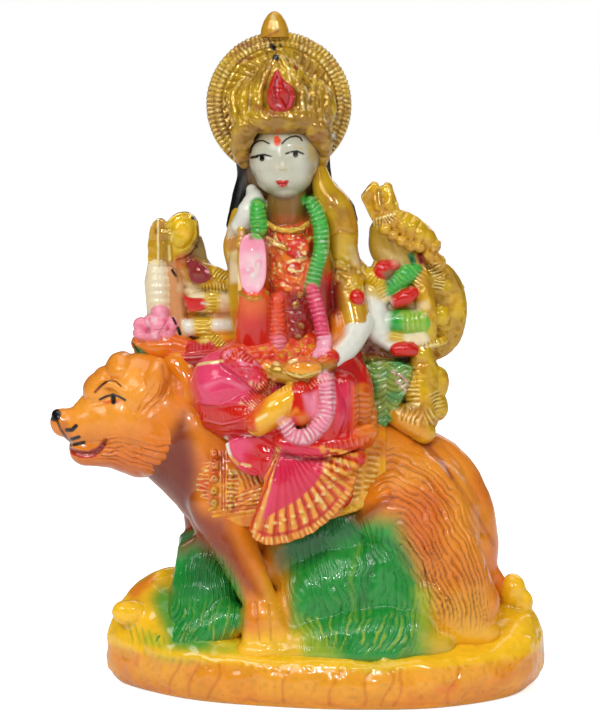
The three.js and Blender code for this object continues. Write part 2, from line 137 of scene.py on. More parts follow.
class FigurinePaints(bpy.types.PropertyGroup):
    """The paints that the figurine is finished with."""
    __annotations__ = {
        name: FloatVectorProperty(
            name=name.replace("_", " ").capitalize(), description=f"Colour of the {name.replace('_', ' ')} paint",
            subtype="COLOR", size=3, min=0.0, max=1.0, default=linear(code))
        for name, (code, _) in PAINTS.items()
    }


class FigurineSizes(bpy.types.PropertyGroup):
    """How finely the figurine is sculpted."""
    fineness: FloatProperty(
        name="Fineness", description="Grid of the sculpted mesh on the lion's body, finer pieces following it",
        default=FINENESS, min=0.0002, max=0.002, unit="LENGTH")
    fur_depth: FloatProperty(
        name="Fur Depth", description="How deep the combed lines of the fur and grass are cut",
        default=FUR_DEPTH, min=0.0, max=0.001, unit="LENGTH")


def paint_of(name):
    """The linear colour of a paint with its metal flake as a fourth number."""
    return [*getattr(bpy.context.scene.figurine_paints, name), PAINTS[name][1]]


# ---------------------------------------------------------------- modelling

def deselect():
    bpy.ops.object.select_all(action="DESELECT")


def tag(obj, coat):
    """Marks every face of a shape with the paint it takes."""
    mark = obj.data.attributes.new("coat", "INT", "FACE")
    mark.data.foreach_set("value", np.full(len(obj.data.polygons), NAMES.index(coat), np.int32))
    return obj


def made(obj, places, coat):
    """A start shape whose points are moved to places, which is an array in the grid."""
    obj.data.vertices.foreach_set("co", np.asarray(places, np.float32).ravel())
    return tag(obj, coat)


def points_of(obj):
    co = np.empty(len(obj.data.vertices) * 3, np.float32)
    obj.data.vertices.foreach_get("co", co)
    return co.reshape(-1, 3).astype(float)


STARTS = {}


def start(kind):
    """A fresh copy of a start shape, with its own mesh. Each kind is added once, by Blender's own tool."""
    if kind not in STARTS:
        deselect()
        if kind == "ball":
            bpy.ops.mesh.primitive_uv_sphere_add(segments=48, ring_count=28, radius=1)
        else:
            bpy.ops.mesh.primitive_ico_sphere_add(subdivisions=2, radius=1)
        mesh = bpy.context.object.data
        bpy.data.objects.remove(bpy.context.object)
        STARTS[kind] = mesh
    obj = bpy.data.objects.new(kind, STARTS[kind].copy())
    bpy.context.collection.objects.link(obj)
    return obj


def ball(centre, radii, coat, turn=(0, 0, 0), kind="ball"):
    """An egg about a place in the grid, turned about X, Y and Z by degrees."""
    obj = start(kind)
    spin = Euler([math.radians(a) for a in turn]).to_matrix().to_4x4()
    obj.data.transform(Matrix.Translation(centre) @ spin @ Matrix.Diagonal((*radii, 1)))
    return tag(obj, coat)


def egg(across, down, back, radii, coat, turn=(0, 0, 0)):
    return ball(spot(across, down, back), radii, coat, turn)


def bead(across, down, back, radius, coat):
    return ball(spot(across, down, back), (radius,) * 3, coat, kind="bead")


def grid_tubes(runs, coat, thin=1.0):
    """Limbs along smooth curves with round ends. A run's stops are (x, y, z, radius) in the grid; thin flattens
    them from front to back."""
    data = bpy.data.curves.new("tubes", "CURVE")
    data.dimensions, data.bevel_depth, data.use_fill_caps = "3D", 1.0, True
    data.bevel_resolution = 14 if max(stop[3] for run in runs for stop in run) > 12 else 7
    data.resolution_u = 14
    for run in runs:
        spline = data.splines.new("BEZIER")
        spline.bezier_points.add(len(run) - 1)
        for point, (x, y, z, radius) in zip(spline.bezier_points, run):
            point.co = (x, y / thin, z)
            point.radius = radius
            point.handle_left_type = point.handle_right_type = "AUTO"
    obj = bpy.data.objects.new("tubes", data)
    bpy.context.collection.objects.link(obj)
    deselect()
    obj.select_set(True)
    bpy.context.view_layer.objects.active = obj
    bpy.ops.object.convert(target="MESH")
    obj = bpy.context.object
    obj.data.transform(Matrix.Diagonal((1, thin, 1, 1)))
    ends = [run[k] for run in runs for k in (0, -1)]
    return [tag(obj, coat), *(ball(end[:3], (end[3], end[3] * thin, end[3]), coat) for end in ends)]


def tubes(runs, coat, thin=1.0):
    """As grid_tubes, with stops given as (across, down, back, radius)."""
    return grid_tubes([[(*spot(*stop[:3]), stop[3]) for stop in run] for run in runs], coat, thin)


def along(stops, count):
    """count places spread evenly along a line of stops, each with as many numbers as a stop has."""
    stops = np.asarray(stops, float)
    reach = np.concatenate([[0], np.cumsum(np.linalg.norm(np.diff(stops[:, :2], axis=0), axis=1))])
    at = np.linspace(0, reach[-1], count)
    smooth = np.stack([np.interp(at, reach, column) for column in stops.T], axis=1)
    for _ in range(max(1, count // 8)):
        smooth[1:-1] = (smooth[:-2] + smooth[2:] + 2 * smooth[1:-1]) / 4
    return smooth


def beads(stops, count, coat):
    """A string of beads; each stop is (across, down, back, radius)."""
    return [bead(*place, coat) for place in along(stops, count)]


def sheet_of(rows, columns, place, thick, coat):
    """A curved sheet whose points lie where place(u, v) says, made thick towards its back."""
    deselect()
    bpy.ops.mesh.primitive_grid_add(x_subdivisions=columns, y_subdivisions=rows, size=2)
    obj = bpy.context.object
    made(obj, [place((x + 1) / 2, (y + 1) / 2) for x, y, _ in points_of(obj)], coat)
    wall = obj.modifiers.new("wall", "SOLIDIFY")
    wall.thickness, wall.offset = thick, 0.0
    bpy.ops.object.modifier_apply(modifier=wall.name)
    return obj


def rounded(outline):
    """An outline of (across, down) with its corners cut off."""
    pairs = zip(outline, outline[1:] + outline[:1])
    return [(a + (c - a) * t, b + (d - b) * t) for (a, b), (c, d) in pairs for t in (0.25, 0.75)]


def slab(outline, back, thick, coat):
    """A flat shape cut to an outline of (across, down), from back - thick to back."""
    outline = rounded(outline)
    deselect()
    bpy.ops.mesh.primitive_circle_add(vertices=len(outline), radius=1, fill_type="NGON")
    obj = bpy.context.object
    obj.data.vertices.foreach_set("co", np.array([spot(a, d, back) for a, d in outline], np.float32).ravel())
    bpy.ops.object.mode_set(mode="EDIT")
    bpy.ops.mesh.select_all(action="SELECT")
    bpy.ops.mesh.extrude_region_move(TRANSFORM_OT_translate={"value": (0, -thick, 0)})
    bpy.ops.mesh.select_all(action="SELECT")
    bpy.ops.mesh.quads_convert_to_tris()
    bpy.ops.mesh.normals_make_consistent(inside=False)
    bpy.ops.object.mode_set(mode="OBJECT")
    return tag(obj, coat)


def turned(profile, steps, coat, move=None):
    """A profile of (radius, height) spun about the upright axis, then moved by move(points)."""
    mesh = bpy.data.meshes.new("turned")
    mesh.from_pydata([(r, 0, h) for r, h in profile], [(i, i + 1) for i in range(len(profile) - 1)], [])
    obj = bpy.data.objects.new("turned", mesh)
    bpy.context.collection.objects.link(obj)
    deselect()
    obj.select_set(True)
    bpy.context.view_layer.objects.active = obj
    bpy.ops.object.mode_set(mode="EDIT")
    bpy.ops.mesh.select_all(action="SELECT")
    bpy.ops.mesh.spin(steps=steps, angle=2 * math.pi, center=(0, 0, 0), axis=(0, 0, 1))
    bpy.ops.mesh.select_all(action="SELECT")
    bpy.ops.mesh.remove_doubles(threshold=1e-4)
    bpy.ops.mesh.normals_make_consistent(inside=False)
    bpy.ops.object.mode_set(mode="OBJECT")
    if move:
        obj.data.vertices.foreach_set("co", move(points_of(obj)).astype(np.float32).ravel())
    return tag(obj, coat)


def flat(shapes):
    """Shapes and lists of shapes in one list."""
    return [one for shape in shapes for one in (flat(shape) if isinstance(shape, list) else [shape])]


# a patch with an edge softer than SHARP is sprayed, and its edge spreads
SHARP, SPREAD = 2.6, 1.8
# thinning: its steps, how far the front and a change of paint hold it back, and its least
LEVELS, FRONT_HOLD, PAINT_HOLD, LEAST = 8, 0.55, 5, 0.04


class Cast:
    """A piece while it is sculpted and painted: its object, and arrays of its points, normals and coats."""

    def __init__(self, name, shapes, voxel, soften=3):
        shapes = flat(shapes)
        deselect()
        for shape in shapes:
            shape.select_set(True)
        bpy.context.view_layer.objects.active = shapes[0]
        bpy.ops.object.join()
        self.obj = bpy.context.object
        self.obj.name = self.obj.data.name = name
        bpy.ops.object.transform_apply(location=True, rotation=True, scale=True)
        coats = np.empty(len(self.obj.data.polygons), np.int32)
        self.obj.data.attributes["coat"].data.foreach_get("value", coats)
        faces = BVHTree.FromPolygons(points_of(self.obj).tolist(), [p.vertices[:] for p in self.obj.data.polygons])
        size = voxel * bpy.context.scene.figurine_sizes.fineness / FINENESS
        self.modify("REMESH", mode="VOXEL", voxel_size=size, use_smooth_shade=True)
        self.modify("SMOOTH", factor=0.5, iterations=soften)
        self.refresh()
        near = [faces.find_nearest(point)[2] for point in self.points.tolist()]
        palette = np.array([paint_of(name) for name in NAMES])
        self.coat = coats[near]
        self.paint = palette[self.coat]
        edges = np.empty(len(self.obj.data.edges) * 2, np.int64)
        self.obj.data.edges.foreach_get("vertices", edges)
        self.edges = edges.reshape(-1, 2)
        self.valence = np.bincount(self.edges.ravel(), minlength=len(self.points)).astype(float)
        self.paint = self.blur(self.paint, 2)

    def modify(self, kind, **settings):
        modifier = self.obj.modifiers.new(kind, kind)
        for key, value in settings.items():
            setattr(modifier, key, value)
        bpy.ops.object.modifier_apply(modifier=modifier.name)

    def refresh(self):
        self.points = points_of(self.obj)
        normals = np.empty(len(self.points) * 3, np.float32)
        self.obj.data.vertices.foreach_get("normal", normals)
        self.normals = normals.reshape(-1, 3).astype(float)
        self.across, self.down = seen(self.points)

    def blur(self, values, rounds):
        """Values averaged with those of the neighbouring points."""
        a, b = self.edges.T
        for _ in range(rounds):
            total = np.stack([
                np.bincount(a, column[b], len(column)) + np.bincount(b, column[a], len(column))
                for column in values.T], axis=1)
            values = (values + total / self.valence[:, None]) / 2
        return values

    def rise(self, rounds=6):
        """How far each point stands out from the surface round it, in shares."""
        return ((self.points - self.blur(self.points, rounds)) * self.normals).sum(axis=1)

    def emboss(self, height):
        """Moves each point along its normal by a height in shares."""
        moved = self.points + self.normals * np.asarray(height)[:, None]
        self.obj.data.vertices.foreach_set("co", moved.astype(np.float32).ravel())
        self.obj.data.update()
        self.refresh()

    def is_coat(self, *names):
        return np.isin(self.coat, [NAMES.index(name) for name in names])

    def spray(self, colour, amount):
        """Lays a paint over the surface, by an amount from 0 to 1 at each point."""
        amount = np.clip(amount, 0, 1)[:, None]
        self.paint = self.paint * (1 - amount) + np.array(paint_of(colour)) * amount

    def shade(self, amount):
        """Darkens the paint by an amount from 0 to 1 at each point."""
        self.paint[:, :3] *= 1 - np.clip(amount, 0, 1)[:, None]

    def faces_front(self, low=0.05, high=0.35):
        return step(low, high, -self.normals[:, 1] * COS + self.normals[:, 2] * SIN)

    def faces_back(self):
        return step(0.0, 0.4, self.normals[:, 1])

    def stands(self, low, high, rounds=3):
        """Where the surface stands out by low to high; with high below low, where it lies deep."""
        return step(low, high, self.rise(rounds))

    def roughen(self, height, size, seed):
        """Raises and sinks the surface by up to half a height, in spots about size across."""
        self.emboss(height * (grain(self.points, size, seed) - 0.5))

    def mottle(self, colour, amount, low, high, size, seed):
        """Sprays a paint in soft patches about size across, where the noise is above low to high."""
        self.spray(colour, amount * step(low, high, grain(self.points, size, seed)))

    def brush(self, off, width, soft):
        """Where a brush of a width touches the front, by how far off its line each point is."""
        return step(width / 2 + soft / 2, width / 2 - soft / 2, off) * self.faces_front()

    def stroke(self, stops, width, soft=1.5):
        """Where a brush of a width follows stops in the front view, 1 in the stroke and 0 off it."""
        return self.brush(to_line(self.across, self.down, stops), width, soft)

    def area(self, outline, soft=2.0):
        """Where the front view's outline is filled."""
        return step(-soft / 2, soft / 2, inside(self.across, self.down, outline)) * self.faces_front()

    def dab(self, *marks):
        """Brush strokes, each (paint, stops, width, soft, amount)."""
        for colour, stops, width, soft, amount in marks:
            self.spray(colour, amount * self.stroke(stops, width, soft))

    def fill(self, *marks):
        """Painted patches, each (paint, outline, soft, amount)."""
        for colour, outline, soft, amount in marks:
            self.spray(colour, amount * self.area(outline, soft * (1.0 if soft < SHARP else SPREAD)))

    def mould(self, *marks):
        """Raises or sinks soft ridges along strokes, each (stops, width, soft, height in shares)."""
        self.emboss(sum(height * self.stroke(stops, width, soft) for stops, width, soft, height in marks))

    def ribbed(self, stops, width, pitch, height, coat=None, light=None, dark=None, soft=4.0, paint=0.45):
        """Cuts uneven ribs across a band along stops, with a little light paint on the crests, partly dry-brushed
        colour and partly painted highlight, and painted shade between them.
        """
        off, reach = to_line(self.across, self.down, stops, True)
        band = self.brush(off, width, soft)
        uneven = grain(self.points, 1.6 * pitch, 21)
        self.ribs(band, wave((reach + 1.6 * pitch * 0.35 * uneven) / pitch), uneven, height, coat, light, dark, paint)

    def rows(self, stops, width, pitch, height, light=None, dark=None, soft=4.0, paint=0.45):
        """Cuts uneven lines that run along stops, side by side over a band."""
        off = to_line(self.across, self.down, stops)
        band = self.brush(off, width, soft)
        uneven = grain(self.points, 1.6 * pitch, 22)
        self.ribs(band, wave(off / pitch + 0.5 + 0.3 * uneven), uneven, height, None, light, dark, paint)

    def ribs(self, band, crest, uneven, height, coat, light, dark, paint):
        """Raises and paints a band by the height of its crests: its coat, painted shade in the grooves, and a light
        paint on the crests that is partly a painted highlight.
        """
        self.emboss(1.1 * height * band * (crest - 0.5) * (0.55 + 0.9 * uneven))
        for colour, amount in ((coat, 0.95), (dark, 0.7 * paint * step(0.5, 0.1, crest)),
                               (light, 1.3 * paint * step(0.6, 1.0, crest) * step(0.25, 0.75, uneven))):
            if colour:
                self.spray(colour, band * amount)

    def fleck(self, colour, mask, size, share, seed=0):
        """Flecks of a paint over a mask, about size across, on a share of it."""
        self.spray(colour, mask * step(1 - share, 1.1 - share, grain(self.points, size, seed)))

    def mask(self, *names):
        return self.blur(self.is_coat(*names).astype(float)[:, None], 2)[:, 0]

    def gild(self, *names, high=0.8, low=0.6):
        """Dry-brushes gold coats: pale gold on what stands out, partly dry-brushing and partly painted highlight, and
        brown where the surface lies deep, partly pooled paint and partly painted shade.
        """
        held, rise = self.mask(*names), self.rise(3)
        self.spray("gold_light", high * held * step(0.1, 0.45, rise))
        self.spray("gold_brown", low * held * step(-0.05, -0.4, rise))

    def thin(self, triangles):
        """Thins the mesh to a number of triangles, least where the paint changes and most where nobody looks."""
        change = np.abs(self.paint - self.blur(self.paint, 2)).sum(axis=1)
        change = self.blur(change[:, None], 1)[:, 0]
        loose = np.clip(1 - FRONT_HOLD * self.faces_front() - PAINT_HOLD * change, LEAST, 1)
        group = self.obj.vertex_groups.new(name="loose")
        level = np.ceil(loose * LEVELS).astype(int)
        for k in range(1, LEVELS + 1):
            group.add(np.nonzero(level == k)[0].tolist(), k / LEVELS, "REPLACE")
        thinned = self.obj.modifiers.new("thin", "DECIMATE")
        thinned.ratio = min(1.0, triangles / (2 * len(self.obj.data.polygons)))
        thinned.vertex_group, thinned.vertex_group_factor = group.name, 2.0
        bpy.ops.object.modifier_apply(modifier="thin")
        self.obj.vertex_groups.clear()

    def finish(self, material, triangles):
        """Writes the paint, thins the mesh, moves it from the grid to its place in metres and rides it on the body."""
        layer = self.obj.data.attributes.new("paint", "FLOAT_COLOR", "POINT")
        layer.data.foreach_set("color", np.clip(self.paint, 0, 1).astype(np.float32).ravel())
        self.thin(triangles)
        self.obj.data.transform(GRID)
        self.obj.data.materials.clear()
        self.obj.data.materials.append(material)
        self.obj.data.shade_smooth()
        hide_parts(NODE)
        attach(self.obj, "root")


def step(low, high, value):
    t = np.clip((value - low) / (high - low), 0, 1)
    return t * t * (3 - 2 * t)


def to_line(x, y, stops, with_reach=False):
    """The distance of each point from a line through stops, and on demand how far along it the nearest place is."""
    best, reach, start_at = np.full(len(x), 1e9), np.zeros(len(x)), 0.0
    for (ax, ay), (bx, by) in zip(stops[:-1], stops[1:]):
        dx, dy = bx - ax, by - ay
        length = math.hypot(dx, dy) + 1e-9
        t = np.clip(((x - ax) * dx + (y - ay) * dy) / length ** 2, 0, 1)
        off = np.hypot(x - ax - t * dx, y - ay - t * dy)
        nearer = off < best
        best = np.where(nearer, off, best)
        reach = np.where(nearer, start_at + t * length, reach)
        start_at += length
    return (best, reach) if with_reach else best


def inside(x, y, outline):
    """The distance to an outline, above 0 inside it and below 0 outside."""
    odd = np.zeros(len(x), bool)
    for (ax, ay), (bx, by) in zip(outline, outline[1:] + outline[:1]):
        crosses = (ay > y) != (by > y)
        odd ^= crosses & (x < (bx - ax) * (y - ay) / (by - ay + 1e-12) + ax)
    distance = to_line(x, y, outline + outline[:1])
    return np.where(odd, distance, -distance)


def ripple(points, size, seed=0.0):
    """A smooth wandering value between about -1 and 1, whose hills are about size apart."""
    p = points * (2 * math.pi / size)
    total = np.zeros(len(p))
    for k in range(4):
        way = np.array([math.sin(1.7 * k + seed), math.cos(2.3 * k + 1.3 * seed), math.sin(3.1 * k + 0.7 + seed)])
        total += np.sin(p @ way + 1.9 * k + seed + 1.3 * np.sin(p @ way[::-1] * 0.6 + k))
    return total / 3


def grain(points, size, seed=0):
    """Smooth noise from 0 to 1 whose spots are about size across."""
    p = points / size + 512.3 + 17.3 * seed
    base = np.floor(p).astype(np.int64)
    part = (p - base) ** 2 * (3 - 2 * (p - base))
    total = np.zeros(len(p))
    for corner in ((i, j, k) for i in (0, 1) for j in (0, 1) for k in (0, 1)):
        x, y, z = (base + corner).T
        mixed = (x * 73856093 ^ y * 19349663 ^ z * 83492791) & 0xFFFFFF
        value = ((mixed * 2654435761) & 0xFFFFFFFF) / 2 ** 32
        total += value * np.prod(np.where(corner, part, 1 - part), axis=1)
    return total


def wave(turns):
    """Soft waves from 0 to 1, one a turn."""
    return 0.5 - 0.5 * np.cos(2 * math.pi * turns)


def ridge(turns):
    """Rounded ridges, one to each turn, from 0 in the groove to 1 on the crest."""
    return np.abs(np.sin(math.pi * turns)) ** 0.8


# ---------------------------------------------------------------- materials

# the inputs of a Map Range node after its value
FROM_LOW, FROM_HIGH, TO_LOW, TO_HIGH = 1, 2, 3, 4
# millimetres in metres, and the fine lines in each combed strand
MM, LINES_A_STRAND = 0.001, 2


def node(tree, kind, settings=None, links=None):
    """Adds a node to a tree, sets its inputs or properties by name, and links its inputs from sockets."""
    new = tree.nodes.new(kind)
    for key, value in (settings or {}).items():
        if isinstance(key, int) or key in new.inputs:
            new.inputs[key].default_value = value
        else:
            setattr(new, key, value)
    for key, socket in (links or {}).items():
        tree.links.new(socket, new.inputs[key])
    return new


def painted_resin(name, gloss=0.3, blush=0.0, strands=0.0, flake=0.0, fleck=0.06):
    """Polyester casting resin with brushed and sprayed enamel: a wet gloss, brush streaks and thin spots.

    gloss is the roughness, blush how much light sinks in, strands the depth in mm of fine combed lines,
    flake that of the metal paint's grain, and fleck how much the colour wanders."""
    material = bpy.data.materials.new(f"painted resin, {name}")
    material.use_nodes = True
    tree = material.node_tree
    shader = tree.nodes["Principled BSDF"]
    paint = node(tree, "ShaderNodeAttribute", {"attribute_name": "paint"})
    place = node(tree, "ShaderNodeTexCoord")
    # brush marks about 1.2 mm wide and pooled paint about 5 mm across
    marks = node(tree, "ShaderNodeTexNoise", {"Scale": 820.0, "Detail": 3.0}, {"Vector": place.outputs["Object"]})
    pools = node(tree, "ShaderNodeTexNoise", {"Scale": 200.0, "Detail": 2.0}, {"Vector": place.outputs["Object"]})
    mix = node(tree, "ShaderNodeMath", {"operation": "ADD"}, {0: marks.outputs[0], 1: pools.outputs[0]})
    value = node(tree, "ShaderNodeMapRange", {
        FROM_LOW: 0.7, FROM_HIGH: 1.3, TO_LOW: 1 - fleck, TO_HIGH: 1 + fleck}, {0: mix.outputs[0]})
    colour = node(tree, "ShaderNodeHueSaturation", {"Saturation": 1.0}, {
        "Color": paint.outputs["Color"], "Value": value.outputs[0]})
    tree.links.new(colour.outputs[0], shader.inputs["Base Color"])
    tree.links.new(paint.outputs["Alpha"], shader.inputs["Metallic"])
    # the gloss is duller where the paint is thin
    dull = node(tree, "ShaderNodeMapRange", {
        FROM_LOW: 0.35, FROM_HIGH: 0.65, TO_LOW: gloss - 0.1, TO_HIGH: gloss + 0.03}, {0: pools.outputs[0]})
    tree.links.new(dull.outputs[0], shader.inputs["Roughness"])
    # skin of the brushed paint, with ridges a few hundredths of a millimetre high
    last = node(tree, "ShaderNodeBump", {"Strength": 0.35, "Distance": 0.00012}, {"Height": marks.outputs[0]})
    if flake:
        sparkle = node(tree, "ShaderNodeTexNoise", {"Scale": 2600.0, "Detail": 1.0},
                       {"Vector": place.outputs["Object"]})
        last = node(tree, "ShaderNodeBump", {"Strength": 0.6, "Distance": flake * MM}, {
            "Height": sparkle.outputs[0], "Normal": last.outputs[0]})
    if strands:
        strand = node(tree, "ShaderNodeAttribute", {"attribute_name": "strand"})
        held = node(tree, "ShaderNodeAttribute", {"attribute_name": "combed"})
        turn = node(tree, "ShaderNodeMath", {"operation": "MULTIPLY", 1: 2 * math.pi * LINES_A_STRAND}, {
            0: strand.outputs["Fac"]})
        line = node(tree, "ShaderNodeMath", {"operation": "SINE"}, {0: turn.outputs[0]})
        cut = node(tree, "ShaderNodeMath", {"operation": "MULTIPLY"}, {0: line.outputs[0], 1: held.outputs["Fac"]})
        last = node(tree, "ShaderNodeBump", {"Strength": 0.9, "Distance": strands * MM}, {
            "Height": cut.outputs[0], "Normal": last.outputs[0]})
    tree.links.new(last.outputs[0], shader.inputs["Normal"])
    for key, setting in (
            ("IOR", 1.5), ("Subsurface Weight", blush), ("Subsurface Radius", (0.0012, 0.0007, 0.0004)),
            ("Subsurface Scale", 1.0), ("Coat Weight", 0.35), ("Coat Roughness", 0.06)):
        shader.inputs[key].default_value = setting
    return material


def comb(cast, guides, strands, depth, fade=10.0):
    """Combs a piece between guide lines in the front view, and keeps the strand that each point is in."""
    strand = np.zeros(len(cast.points))
    for k, (a, b) in enumerate(zip(guides[:-1], guides[1:])):
        here = inside(cast.across, cast.down, list(a) + list(b)[::-1]) > 0
        da, db = to_line(cast.across, cast.down, a), to_line(cast.across, cast.down, b)
        strand[here] = (strands * (k + da / (da + db + 1e-6)))[here]
    ends, starts = [guide[-1] for guide in guides[1:-1]], [guide[0] for guide in guides[-2:0:-1]]
    outline = [*guides[0], *ends, *guides[-1][::-1], *starts]
    held = step(0, fade, inside(cast.across, cast.down, outline)) * cast.faces_front()
    wander = 1.7 * grain(cast.points, 19, 1) + 0.5 * grain(cast.points, 7, 2)
    cast.strand = np.where(held > 0.02, strand + wander, getattr(cast, "strand", 0 * strand))
    cast.combed = np.maximum(held, getattr(cast, "combed", 0 * held))
    crest = ridge(strand + wander)
    crest = 0.65 * crest + 0.35 * ridge(0.41 * strand + wander)
    cast.emboss(depth * (crest - 0.55) * held * (0.25 + 1.4 * grain(cast.points, 15, 4)))
    return held, crest


def keep_strands(cast):
    for name, values in (("strand", cast.strand), ("combed", cast.combed)):
        layer = cast.obj.data.attributes.new(name, "FLOAT", "POINT")
        layer.data.foreach_set("value", values.astype(np.float32))


# ---------------------------------------------------------------- rock and grass

BASE_X, BASE_LONG, BASE_DEEP, BASE_TALL, ROCK_RISE = 27.0, 448.8, 221.0, 49.6, 67.7
CRACKS = (171, 190, 213, 284, 333, 366, 388, 399, 452)


def rock_place(points):
    """Points of a unit disc, 1 high, moved to the rock: an oval, humped below the chest and the tail."""
    x, y, h = points.T
    angle, r = np.arctan2(y, x), np.hypot(x, y)
    along_it, off = np.cos(angle), np.sin(angle)
    half = np.where(along_it < 0, 0.575, 0.425)
    deep = (1 - np.abs(along_it) ** np.where(along_it < 0, 2.0, 3.0)) ** 0.7
    crack = 1 - 0.006 * np.abs(np.sin(angle * 5.5)) - 0.01 * np.sin(2 * math.pi * (1.1 * angle + 0.3))
    out_x = BASE_LONG * (0.075 + half * along_it * crack)
    out_y = np.sign(off) * deep * crack * BASE_DEEP / 2
    px, py = out_x * r, out_y * r

    def hump(at):
        return np.exp(-(((px / BASE_LONG - at) / 0.18) ** 2))

    rise = ROCK_RISE * step(-0.5 * BASE_DEEP, 0.12 * BASE_DEEP, py)
    top = BASE_TALL + rise * np.maximum(np.maximum(hump(-0.36), 0.62 * hump(0.46)), 0.4)
    return np.stack([BASE_X + px, py, TABLE + h * np.where(h > 0.5, top, BASE_TALL)], axis=1)


def rock_shapes():
    profile = [(0, 0), (0.925, 0), (0.97, 0.16), (0.995, 0.35), (1, 0.5), (0.992, 0.62), (0.97, 0.76), (0.94, 0.88),
               (0.9, 0.945), (0.8, 0.985), (0.6, 0.995), (0.4, 1), (0.2, 1), (0, 1)]
    lumps = [(384, 656, -88, 7, 6), (128, 612, -24, 18, 13), (500, 642, -40, 34, 9)]
    return [
        turned(profile, 96, "rock_yellow", rock_place),
        [egg(a, d, b, (rx, 12, rz), "rock_yellow") for a, d, b, rx, rz in lumps],
        # the end of the tail
        egg(513, 590, 0, (13, 13, 17), "rock_yellow"), egg(522, 602, 0, (11, 12, 14), "rock_yellow"),
    ]


class FIGURINE_OT_rock(bpy.types.Operator):
    """Adds the oval rock that the lion stands on, with its glossy rim"""
    bl_idname = "figurine.rock"
    bl_label = "Rock Base"

    def execute(self, context):
        cast = Cast("rock_base", rock_shapes(), 2.0, soften=10)
        a, d, z = cast.across, cast.down, cast.points[:, 2]
        lump = 1.1 * ripple(cast.points, 46, 2.0) + 2.2 * (grain(cast.points, 15, 3) - 0.5)
        lump += 0.8 * (grain(cast.points, 6, 5) - 0.5)
        side = step(50, 40, z) * step(0.5, 8, z)
        low = step(1.0, 5.0, z)
        cracks = sum(
            np.exp(-((a - at - 0.25 * (690 - d) - 3 * np.sin(d / 7 + at)) / 1.8) ** 2)
            for at in CRACKS)
        pits = step(0.62, 0.8, grain(cast.points, 4.5, 8))
        swell = np.exp(-(((z - 46) / 6) ** 2)) * cast.faces_front() * (grain(cast.points, 22, 12) - 0.4)
        cast.emboss(low * (lump + 5.5 * swell - 0.9 * cracks * side - 0.6 * pits * side))
        cast.spray("rock_orange", side * 0.8)
        cast.mottle("lion_deep", 0.25 * side, 0.5, 0.8, 26, 9)
        cast.spray("lion_deep", 0.35 * step(20, 2, z) * cast.faces_front())
        # darker in the cracks of the side: painted shade
        cast.spray("lion_deep", 0.35 * side * cracks)
        cast.dab(
            ("leaf_lime", [(150, 640), (165, 652), (200, 652), (235, 648)], 14, 18, 0.75),
            ("leaf_green", [(165, 600), (180, 636), (200, 640)], 26, 18, 0.9),
            ("leaf_lime", [(285, 650), (330, 655), (370, 665), (400, 660)], 12, 16, 0.8),
            ("leaf_green", [(350, 655), (375, 662), (392, 655)], 8, 10, 0.7),
            ("leaf_lime", [(425, 645), (432, 600)], 16, 18, 0.7),
            ("lion_deep", [(148, 578), (134, 592)], 14, 12, 0.75),
            ("lion_deep", [(110, 650), (130, 680), (165, 694)], 8, 22, 0.35),
            ("lion_deep", [(415, 700), (470, 690), (520, 672)], 10, 20, 0.35),
            ("red_orange", [(138, 655), (136, 664)], 3, 6, 0.5), ("red_orange", [(440, 690), (456, 686)], 8, 10, 0.4))
        for k in range(9):
            x = 128 + 7 * k
            blade = [(x, 622 + 3 * k), (x + 5, 640 + 3 * k), (x + 3, 650 + 2 * k)]
            cast.dab(("leaf_green", blade, 1.5, 2.5, 0.65 - 0.03 * k))
        # a lighter band along the front of the rim, just below the top: a painted highlight
        rim = np.exp(-(((z - 47) / 5) ** 2)) * cast.faces_front()
        cast.spray("rock_yellow", 0.8 * rim)
        cast.spray("rock_orange", cast.faces_back() * 0.5)
        cast.shade(0.25 * cast.stands(0.2, -0.8, 6))
        cast.finish(painted_resin("rock yellow", gloss=0.22, fleck=0.08), triangles=60000)
        return {"FINISHED"}


# ---------------------------------------------------------------- the lion's body

